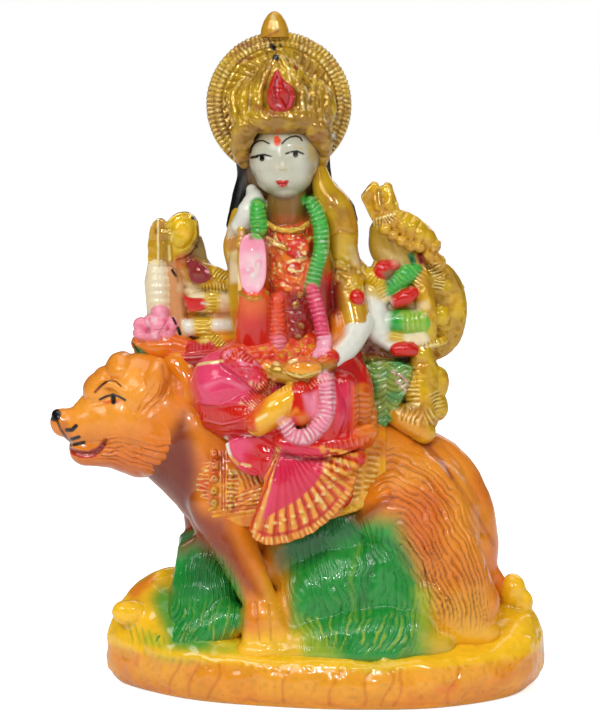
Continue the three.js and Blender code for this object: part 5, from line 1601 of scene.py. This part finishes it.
class FIGURINE_OT_left_arms(bpy.types.Operator):
    """Adds the arms behind on the lion head's side, with the things that they hold"""
    bl_idname = "figurine.left_arms"
    bl_label = "Left Arms"

    def execute(self, context):
        cast = Cast("left_arms", left_shapes(), 0.85, soften=5)
        drum = cast.stroke([(158, 268), (158, 316)], 24, 4)
        cast.emboss(0.45 * drum * np.sin(cast.down * 2 * math.pi / 7.5)
                    + cast.mask("gold_yellow", "ochre") * (1.8 * grain(cast.points, 6, 4) - 0.9))
        cast.mottle("gold_yellow", 0.5 * cast.mask("ochre"), 0.4, 0.75, 11, 15)
        cast.mould(([(158, 218), (158, 266)], 2.2, 2, 1.3), ([(150, 266), (170, 266)], 2, 3, -1.2),
                   ([(186, 287), (240, 294)], 3, 4, -1.6), ([(186, 315), (240, 315)], 3, 4, -1.6),
                   ([(200, 338), (240, 336)], 2, 3, -1.2), ([(168, 320), (160, 334)], 2, 3, -1.2),
                   ([(150, 318), (148, 332)], 2, 3, -1.4), ([(134, 334), (150, 331), (164, 330)], 1.6, 2.4, -1.0),
                   ([(131, 343), (150, 343), (168, 340)], 1.6, 3, -1.0), ([(192, 320), (193, 336)], 1.6, 2, -0.8))
        # The brown on the lower right of the gold head and down the blade's right side is painted shade.
        cast.fill(
            ("olive", [(192, 244), (200, 234), (208, 260), (200, 262)], 3, 0.9),
            ("gold_brown", [(196, 238), (200, 232), (199, 246), (188, 256), (176, 258), (188, 250)], 4, 0.8),
            ("red_dark", [(176, 256), (192, 252), (200, 262), (188, 268), (182, 266)], 5, 0.7),
            ("lion_deep", [(174, 256), (186, 254), (184, 268), (176, 268)], 4, 0.5),
            ("gold_brown", [(161, 222), (170, 230), (172, 264), (161, 264)], 5, 0.6),
            ("red_dark", GRIP_ABOVE, 2.5, 0.95),
            ("gold_brown", [(208, 264), (222, 272), (220, 280), (212, 280)], 5, 0.6),
            ("resin_white", [(151, 268), (162, 268), (162, 300), (152, 300)], 10, 0.4),
            ("cream", [(180, 280), (200, 287), (206, 294), (186, 294), (178, 290)], 4, 0.85),
            ("tan", [(178, 268), (188, 270), (186, 290), (180, 296)], 4, 0.6),
            ("red", GRIP_BELOW, 2, 0.95),
            ("gold_yellow", [(204, 292), (222, 291), (220, 312), (206, 312)], 3, 0.9),
            ("cream", [(220, 291), (228, 291), (228, 306), (220, 304)], 3, 0.8),
            ("tan", [(222, 302), (244, 302), (244, 320), (220, 318)], 7, 0.6),
            ("lion_deep", [(186, 310), (220, 312), (220, 319), (188, 319)], 4, 0.6),
            ("resin_white", [(181, 320), (193, 320), (193, 336), (186, 334)], 3, 0.8),
            ("gold_yellow", [(193, 317), (213, 317), (212, 338), (194, 338)], 3, 0.9),
            ("resin_white", [(212, 320), (238, 318), (238, 331), (212, 331)], 3, 0.85),
            ("foot_yellow", [(212, 331), (241, 330), (242, 340), (212, 341)], 3, 0.9),
            ("lion_orange", [(216, 311), (242, 310), (242, 320), (220, 319)], 5, 0.4),
            ("red", [(186, 341), (210, 340), (216, 346), (208, 357), (188, 357)], 3, 0.9),
            ("red_orange", [(215, 341), (246, 338), (246, 354), (212, 356)], 5, 0.8),
            ("red_dark", [(186, 354), (222, 352), (218, 362), (180, 366)], 5, 0.6),
            ("lion_orange", [(130, 340), (165, 345), (166, 362), (134, 360)], 7, 0.8),
            ("lion_deep", [(166, 336), (184, 336), (184, 356), (168, 356)], 6, 0.6),
            ("leaf_dark", [(133, 344), (141, 348), (148, 354), (140, 357), (134, 351)], 2.5, 0.9),
            ("resin_white", [(139, 356), (148, 355), (146, 359), (139, 359)], 2, 0.8))
        for stops, width, pitch in (([(214, 270), (226, 280)], 10, 3.2), ([(203, 288), (226, 287)], 7, 3.4),
                                    ([(213, 293), (213, 311)], 8, 3.6), ([(203, 319), (203, 337)], 14, 4.4),
                                    ([(212, 336), (224, 347)], 9, 3.2)):
            cast.ribbed(stops, width, pitch, 1.0, "gold_yellow", "gold_light", "gold_brown")
        cast.ribbed([(189, 346), (212, 346)], 8, 4.0, 0.6, light="pink", dark="red_dark")
        # Painted highlights among these strokes: the pale gold down the blade's ridge and on the gold head, the yellow
        # at the head's top, and the white dots on the lotus and on the lower red hand.
        cast.dab(
            ("gold_light", [(158, 218), (158, 264)], 2.0, 1.0, 0.9),
            ("gold_light", [(169, 246), (170, 260)], 2.0, 2.0, 0.7),
            ("gold_light", [(184, 228), (182, 235)], 1.4, 2.4, 0.5),
            ("gold_light", [(173, 232), (171, 240)], 1.6, 2.4, 0.5),
            ("rock_yellow", [(178, 222), (184, 234)], 9, 9, 0.7),
            ("black", [(193, 218), (196, 218)], 4, 1.6, 1.0),
            ("black", [(197, 226), (198, 238), (195, 247), (190, 254)], 1.4, 1.2, 0.8),
            ("black", [(196, 246), (197, 247)], 2.6, 1.2, 0.9), ("black", [(156, 230), (156, 233)], 1.4, 1, 0.8),
            ("black", [(172, 270), (176, 276)], 2.6, 1.2, 1.0), ("black", [(173, 318), (176, 324)], 2.4, 1.2, 1.0),
            ("black", [(178, 328), (180, 334)], 3.4, 1.2, 1.0), ("black", [(131, 341), (139, 352)], 1.4, 1, 0.9),
            ("gold_brown", [(168, 264), (176, 270), (178, 282)], 2, 3, 0.6),
            ("resin_white", [(155, 319), (155, 321)], 4, 4, 0.6), ("resin_white", [(155, 334), (155, 337)], 3, 4, 0.5),
            ("resin_white", [(202, 303), (208, 304)], 2.2, 2.4, 0.8), ("pink", [(164, 320), (168, 330)], 3, 4, 0.7),
            ("pink", [(140, 325), (145, 330)], 5, 6, 0.5), ("pink_pale", [(158, 309), (162, 316)], 4, 4, 0.6),
            ("lotus_pink", [(160, 335), (170, 330)], 2, 3, 0.5), ("pink_pale", [(206, 271), (208, 272)], 2.4, 2, 0.9),
            ("resin_white", [(147, 321), (149, 326)], 2, 2, 0.6), ("lion_shadow", [(182, 366), (222, 360)], 3, 4, 0.5))
        cast.gild("gold_yellow", high=0.35, low=0.3)
        cast.gild("ochre", high=0.25, low=0.5)
        cast.shade(0.45 * cast.stands(0.0, -0.7, 4))
        cast.finish(painted_resin("left arms", gloss=0.22), triangles=75000)
        return {"FINISHED"}


# ---------------------------------------------------------------- the arms at the right

def right_shapes():
    masses = [
        slab([(342, 290), (366, 278), (378, 250), (400, 250), (430, 262), (430, 350), (438, 364), (440, 425),
              (402, 440), (378, 420), (360, 356), (342, 330)], 16, 24, "ochre"),
        ball((98, 16, 386), (28, 13, 56), "ochre"),
        tubes([[(372, 292, -8, 11), (374, 312, -10, 14), (378, 330, -12, 14)]], "resin_white"),
        tubes([[(362, 320, -14, 10), (378, 334, -14, 11), (390, 344, -16, 8)]], "resin_white"),
        tubes([[(366, 276, -4, 10), (378, 280, -8, 12), (382, 296, -8, 10)]], "gold_yellow"),
        tubes([[(392, 262, 0, 14), (384, 248, 0, 15), (383, 232, 0, 14)],
               [(412, 262, 0, 13), (402, 250, 0, 13), (392, 236, 0, 12)]], "olive"),
        tubes([[(384, 292, -8, 10), (396, 282, -9, 11), (412, 270, -6, 10)]], "garland_green"),
        tubes([[(388, 322, -12, 11), (402, 322, -13, 13), (420, 322, -10, 13)]], "garland_green"),
        tubes([[(390, 338, -15, 8), (404, 340, -15, 8), (422, 338, -14, 8)]], "cream"),
    ]
    things = [
        slab([(360, 196), (364, 191), (369, 184), (374, 182), (379, 187), (384, 184), (390, 184), (394, 192),
              (397, 202), (400, 212), (396, 226), (376, 226), (370, 217), (364, 204)], 9, 17, "ochre"),
        tubes([[(374, 186, -4, 4.4), (378, 206, -7, 6)], [(388, 187, -4, 4.6), (389, 206, -7, 6.5)]], "ochre"),
        tubes([[(386, 218, -4, 10), (404, 224, -5, 13), (422, 236, -6, 12), (433, 246, -6, 8)]], "ochre"),
        [egg(a, d, -15, (5.4, 5, 6), "ochre", (0, 35, 0))
         for a, d in ((385, 229), (393, 236), (402, 241), (411, 246), (420, 247))],
        tubes([[(428, 254, -4, 7), (438, 262, -2, 8)]], "ochre"),
    ]
    shield = [
        turned([(0, -9), (0.6, -8), (0.9, -5), (1, 0), (0.9, 5), (0.6, 8), (0, 9)], 40, "gold",
               lambda p: np.stack([134 + p[:, 0] * 34, 12 + p[:, 2], 381 + p[:, 1] * 51], axis=1)),
        tubes([[(420, 278, -4, 9), (424, 296, -7, 10), (427, 316, -9, 10), (428, 342, -8, 9)]], "ochre"),
        egg(440, 316, -1, (10, 8, 11), "gold_yellow"),
        tubes([[(420, 346, -12, 5), (432, 344, -10, 5), (444, 340, -4, 4)]], "gold"),
    ]
    club = [
        tubes([[(420, 350, -8, 13), (424, 380, -10, 15), (420, 412, -12, 16)]], "ochre"),
        egg(437, 384, -6, (12, 11, 18), "ochre", (0, 8, 0)), egg(437, 405, -8, (11, 11, 16), "ochre", (0, -10, 0)),
        egg(412, 386, -14, (9, 9, 20), "ochre"), egg(428, 416, -8, (11, 11, 16), "ochre"),
        tubes([[(390, 410, -14, 12), (408, 420, -16, 14), (424, 432, -14, 12)]], "ochre"),
    ]
    hands = [
        egg(384, 270, -15, (10, 8, 10), "red"), egg(392, 265, -13, (8, 7, 6), "red"),
        tubes([[(397, 301, -16, 7), (406, 297, -17, 8.6), (412, 293, -15, 6.6)]], "red"),
        tubes([[(397, 350, -22, 7), (406, 349, -23, 8), (412, 350, -20, 6.6)]], "red"),
    ]
    return [masses, things, shield, club, hands]


def scarf_shapes():
    outline = [(364, 358), (412, 360), (410, 378), (402, 395), (394, 411), (382, 427), (370, 412), (358, 396),
               (360, 378)]
    return [
        slab(outline, -4, 22, "scarf_green"), egg(384, 386, -18, (20, 11, 26), "scarf_green"),
        tubes([[(360, 392, -24, 10), (366, 415, -34, 11), (364, 438, -44, 11)]], "lion_deep"),
    ]


class FIGURINE_OT_right_arms(bpy.types.Operator):
    """Adds the arms behind on the lion tail's side, with their things, the shield, the club and the scarf"""
    bl_idname = "figurine.right_arms"
    bl_label = "Right Arms"

    def execute(self, context):
        cast = Cast("right_arms", [right_shapes(), scarf_shapes()], 0.9, soften=5)
        x, y, front = cast.across, cast.down, cast.faces_front()
        metal = cast.mask("ochre", "gold") * front
        bar = cast.stroke([(392, 214), (414, 228), (438, 246)], 26, 6) * metal
        cast.emboss(metal * (1.8 * (grain(cast.points, 8, 4) - 0.5) + 1.0 * (grain(cast.points, 4, 5) - 0.5)))
        cast.emboss(1.6 * bar * (ridge((x + 0.6 * y) / 11.0 + grain(cast.points, 15, 28)) - 0.5))
        cast.mottle("gold_yellow", 0.7 * metal, 0.35, 0.7, 13, 15)
        cast.mottle("rock_yellow", 0.35 * metal, 0.5, 0.8, 9, 16)
        scarf = cast.mask("scarf_green") * front
        scallop = ridge((y - 5 * np.abs(np.sin((x - 366) * math.pi / 20)) + 2.5 * grain(cast.points, 14, 25)) / 6.6)
        cast.emboss(1.6 * scarf * (scallop - 0.5) * (0.3 + 1.2 * grain(cast.points, 8, 24)))
        cast.fill(
            # the brown under the bar's knuckles is a painted shadow
            ("gold_brown", [(376, 228), (396, 244), (414, 252), (404, 258), (388, 248), (374, 236)], 5, 0.75),
            ("tan", [(374, 238), (392, 250), (400, 262), (380, 260)], 8, 0.4),
            ("red", [(374, 268), (380, 261), (398, 260), (400, 265), (392, 270), (388, 280), (376, 278)], 2, 0.95),
            ("leaf_dark", [(384, 272), (396, 268), (392, 284), (384, 288)], 4, 0.7),
            ("leaf_green", [(380, 312), (398, 312), (400, 330), (382, 330)], 4, 0.8),
            ("leaf_lime", [(402, 311), (426, 310), (430, 334), (404, 334)], 6, 0.65),
            ("cream", [(404, 334), (424, 332), (424, 342), (406, 343)], 2.5, 0.85),
            ("gold_yellow", [(384, 331), (402, 332), (404, 342), (386, 342)], 3, 0.85),
            ("cream", [(408, 306), (428, 300), (430, 308), (412, 312)], 3, 0.6),
            ("red", [(391, 302), (396, 294), (408, 287), (417, 288), (416, 298), (406, 307), (394, 308)], 2, 0.95),
            ("red", [(391, 346), (398, 342), (414, 342), (418, 350), (414, 356), (400, 358), (392, 354)], 2, 0.95),
            ("black", [(392, 356), (411, 357), (411, 366), (398, 365)], 3, 0.85),
            ("leaf_dark", [(362, 358), (370, 358), (366, 392), (360, 392)], 4, 0.6),
            ("lion_shadow", [(362, 344), (392, 354), (392, 360), (364, 356)], 4, 0.8),
            ("cream", [(384, 250), (402, 258), (404, 266), (394, 264)], 4, 0.5),
            ("rock_orange", [(396, 404), (424, 410), (432, 440), (392, 432)], 8, 0.6),
            ("gold_brown", [(398, 402), (426, 404), (426, 412), (398, 412)], 5, 0.5),
            ("lion_orange", [(350, 396), (372, 396), (380, 436), (352, 442)], 6, 0.8),
            ("resin_white", [(366, 300), (384, 292), (392, 300), (388, 342), (368, 334)], 5, 0.8),
            ("gold_yellow", [(364, 270), (380, 282), (388, 300), (370, 300), (362, 286)], 5, 0.8),
            ("red_dark", [(358, 334), (372, 340), (392, 352), (360, 352)], 6, 0.7))
        for band in (
                ([(414, 286), (424, 270), (430, 264)], 8, 4.0, 0.8),
                ([(433, 264), (440, 278), (438, 290)], 11, 3.6, 1.2),
                ([(412, 366), (413, 404)], 14, 4.6, 1.1), ([(434, 392), (442, 410)], 12, 3.6, 0.8),
                ([(370, 222), (384, 222), (396, 214)], 8, 3.0, 1.0)):
            cast.ribbed(*band, light="gold_light", dark="gold_brown")
        cast.ribbed([(360, 398), (368, 416), (370, 440)], 18, 5.0, 1.0, light="gold_light", dark="red_orange")
        cast.ribbed([(388, 290), (400, 280), (414, 268)], 12, 4.6, 0.8, light="leaf_lime", dark="leaf_dark", paint=0.3)
        cast.ribbed([(402, 322), (422, 322)], 18, 5.0, 1.0, light="cream", dark="leaf_green", paint=0.25)
        for band in (([(368, 275), (380, 286), (386, 298)], 9, 3.6, 0.6), ([(422, 346), (444, 340)], 6, 4.0, 0.6),
                     ([(400, 412), (424, 420), (434, 414)], 16, 5.0, 1.2)):
            cast.ribbed(*band, light="gold_light", dark="gold_brown")
        cast.mould(([(452, 268), (464, 290), (464, 312), (454, 336), (442, 350)], 3, 4, -1.0),
                   ([(378, 190), (380, 208)], 3, 4, -2.0), ([(404, 268), (424, 262), (434, 262)], 3, 5, 0.8))
        cast.spray("gold_yellow", 0.35 * cast.mask("olive"))
        cast.spray("scarf_green", 0.4 * scarf)
        cast.mottle("gold_yellow", 0.3 * scarf, 0.3, 0.7, 12, 26)
        cast.mottle("leaf_green", 0.35 * scarf, 0.4, 0.7, 15, 40)
        # white glints on the scallops' crests are painted highlights, and the dark green and brown between them are
        # painted shade
        cast.fleck("resin_white", 0.35 * scarf * step(0.7, 0.98, scallop), 5, 0.4, 3)
        cast.spray("leaf_dark", 0.45 * scarf * step(0.4, 0.1, scallop))
        cast.spray("gold_brown", 0.5 * scarf * step(-0.2, -0.6, np.abs(y - 392) / 20 - 1) * step(0.4, 0.1, scallop))
        # pale gold glints on what stands out: painted highlights
        cast.fleck("gold_light", 0.6 * metal * cast.stands(0.0, 0.35), 3.4, 0.34, 7)
        cast.gild("gold", "ochre", high=0.45, low=0.55)
        # Painted light among these strokes: the pale gold along the top of the bar is a painted highlight, and the
        # brown in the groove between the prongs is painted shade.
        cast.dab(
            ("leaf_dark", [(411, 256), (413, 261)], 7, 2.5, 0.95), ("black", [(412, 258), (412, 260)], 3, 3, 0.6),
            ("red_dark", [(420, 256), (422, 261)], 7, 2.5, 0.95), ("black", [(421, 259), (421, 261)], 3, 3, 0.5),
            ("black", [(359, 195), (364, 191)], 2.8, 1.2, 1.0), ("black", [(368, 186), (371, 182)], 1.6, 1, 0.8),
            ("gold_light", [(376, 219), (394, 214)], 2, 2, 0.7), ("gold_brown", [(380, 190), (382, 206)], 4, 4, 0.6),
            ("gold_yellow", [(400, 216), (434, 240)], 10, 8, 0.5), ("gold_yellow", [(384, 186), (392, 204)], 5, 5, 0.5),
            ("gold_yellow", [(440, 312), (440, 320)], 12, 7, 0.6),
            ("gold_yellow", [(432, 372), (444, 390)], 12, 8, 0.5),
            ("gold_light", [(424, 347), (438, 344)], 2.4, 2, 0.8),
            ("pink_pale", [(392, 372), (402, 376), (409, 385)], 1.6, 1.4, 0.8),
            ("pink_pale", [(396, 380), (406, 390)], 2, 2, 0.7),
            ("red_dark", [(396, 374), (404, 380)], 2, 2, 0.6), ("resin_white", [(372, 300), (371, 326)], 9, 8, 0.7),
            ("lion_shadow", [(362, 350), (376, 352), (392, 358)], 2, 3, 0.7))
        cast.shade(0.45 * cast.stands(0.0, -0.7, 4))
        cast.finish(painted_resin("right arms", gloss=0.22), triangles=95000)
        return {"FINISHED"}


# ---------------------------------------------------------------- stage

# name, place, size and watts
LAMPS = [
    ("key", (-0.42, -0.5, 0.55), 0.36, 1.8), ("fill", (0.5, -0.5, 0.25), 0.6, 0.5),
    ("glint", (-0.14, -0.6, 0.42), 0.06, 1.0), ("spark", (0.2, -0.55, 0.5), 0.05, 0.7),
    ("top", (0.0, 0.05, 0.7), 0.5, 1.1), ("back", (0.25, 0.6, 0.45), 0.5, 1.2),
]


class FIGURINE_OT_stage(bpy.types.Operator):
    """Adds the pale floor, the soft lamps and the camera"""
    bl_idname = "figurine.stage"
    bl_label = "Stage"

    def execute(self, context):
        scene = bpy.context.scene
        deselect()
        bpy.ops.mesh.primitive_plane_add(size=30.0, location=(0, 0, LOW.z))
        floor = bpy.context.object
        floor.name = "floor"
        card = bpy.data.materials.new("matt white card")
        card.use_nodes = True
        tree = card.node_tree
        shader = tree.nodes["Principled BSDF"]
        place = node(tree, "ShaderNodeTexCoord")
        fibre = node(tree, "ShaderNodeTexNoise", {"Scale": 40.0}, {"Vector": place.outputs["Object"]})
        tone = node(tree, "ShaderNodeMapRange", {TO_LOW: 0.86, TO_HIGH: 0.88}, {0: fibre.outputs[0]})
        tree.links.new(tone.outputs[0], shader.inputs["Base Color"])
        shader.inputs["Roughness"].default_value = 0.9
        # the card is burnt out to white in the photo, so the camera alone sees it glow
        seen_by = node(tree, "ShaderNodeLightPath")
        burnt = node(tree, "ShaderNodeMath", {"operation": "MULTIPLY", 1: 0.68}, {0: seen_by.outputs["Is Camera Ray"]})
        shader.inputs["Emission Color"].default_value = (1, 1, 1, 1)
        tree.links.new(burnt.outputs[0], shader.inputs["Emission Strength"])
        floor.data.materials.append(card)
        target = GRID @ Vector((0, 0, EYE_HEIGHT))
        away = AWAY * SHARE
        bpy.ops.object.camera_add(
            location=target + away * Vector((0, -COS, SIN)), rotation=(math.pi / 2 - RISE, 0, 0))
        camera = bpy.context.object
        camera.data.lens = SENSOR * AWAY / VIEW_TALL
        camera.data.shift_y = VIEW_SHIFT / VIEW_TALL
        camera.data.clip_start = 0.01
        scene.camera = camera
        for name, place, size, watts in LAMPS:
            bpy.ops.object.light_add(type="AREA", location=place)
            lamp = bpy.context.object
            lamp.name = name
            lamp.data.size, lamp.data.energy = size, watts
            lamp.rotation_euler = (target - Vector(place)).to_track_quat("-Z", "Y").to_euler()
        world = bpy.data.worlds.new("studio")
        world.use_nodes = True
        # the backdrop is white to the eye and lights the figurine softly
        tree = world.node_tree
        ray = node(tree, "ShaderNodeLightPath")
        glow = node(tree, "ShaderNodeMapRange", {TO_LOW: 0.4, TO_HIGH: 1.0}, {0: ray.outputs["Is Camera Ray"]})
        dim = node(tree, "ShaderNodeMapRange", {TO_LOW: 1.0, TO_HIGH: 0.15}, {0: ray.outputs["Is Glossy Ray"]})
        both = node(tree, "ShaderNodeMath", {"operation": "MULTIPLY"}, {0: glow.outputs[0], 1: dim.outputs[0]})
        backdrop = tree.nodes["Background"]
        backdrop.inputs["Color"].default_value = (1, 1, 1, 1)
        tree.links.new(both.outputs[0], backdrop.inputs["Strength"])
        scene.world = world
        scene.view_settings.view_transform = "Standard"
        return {"FINISHED"}


STEPS = [
    FIGURINE_OT_rock, FIGURINE_OT_lion, FIGURINE_OT_lion_head, FIGURINE_OT_saddle_cloth, FIGURINE_OT_skirt,
    FIGURINE_OT_torso, FIGURINE_OT_head, FIGURINE_OT_crown, FIGURINE_OT_left_arms, FIGURINE_OT_right_arms,
    FIGURINE_OT_stage,
]


class FIGURINE_PT_panel(bpy.types.Panel):
    """Lists the figurine's pieces in the sidebar."""
    bl_label = "Figurine"
    bl_space_type = "VIEW_3D"
    bl_region_type = "UI"
    bl_category = "Figurine"

    def draw(self, context):
        for one in STEPS:
            self.layout.operator(one.bl_idname)
        self.layout.prop(context.scene.figurine_sizes, "fineness")
        self.layout.prop(context.scene.figurine_sizes, "fur_depth")
        for name in PAINTS:
            self.layout.prop(context.scene.figurine_paints, name)


CLASSES = [FigurinePaints, FigurineSizes, *STEPS, FIGURINE_PT_panel]


def register():
    for one in CLASSES:
        bpy.utils.register_class(one)
    bpy.types.Scene.figurine_paints = PointerProperty(type=FigurinePaints)
    bpy.types.Scene.figurine_sizes = PointerProperty(type=FigurineSizes)


def unregister():
    del bpy.types.Scene.figurine_paints, bpy.types.Scene.figurine_sizes
    for one in reversed(CLASSES):
        bpy.utils.unregister_class(one)


def main():
    register()
    for one in STEPS:
        group, name = one.bl_idname.split(".")
        getattr(getattr(bpy.ops, group), name)()


if __name__ == "__main__":
    main()
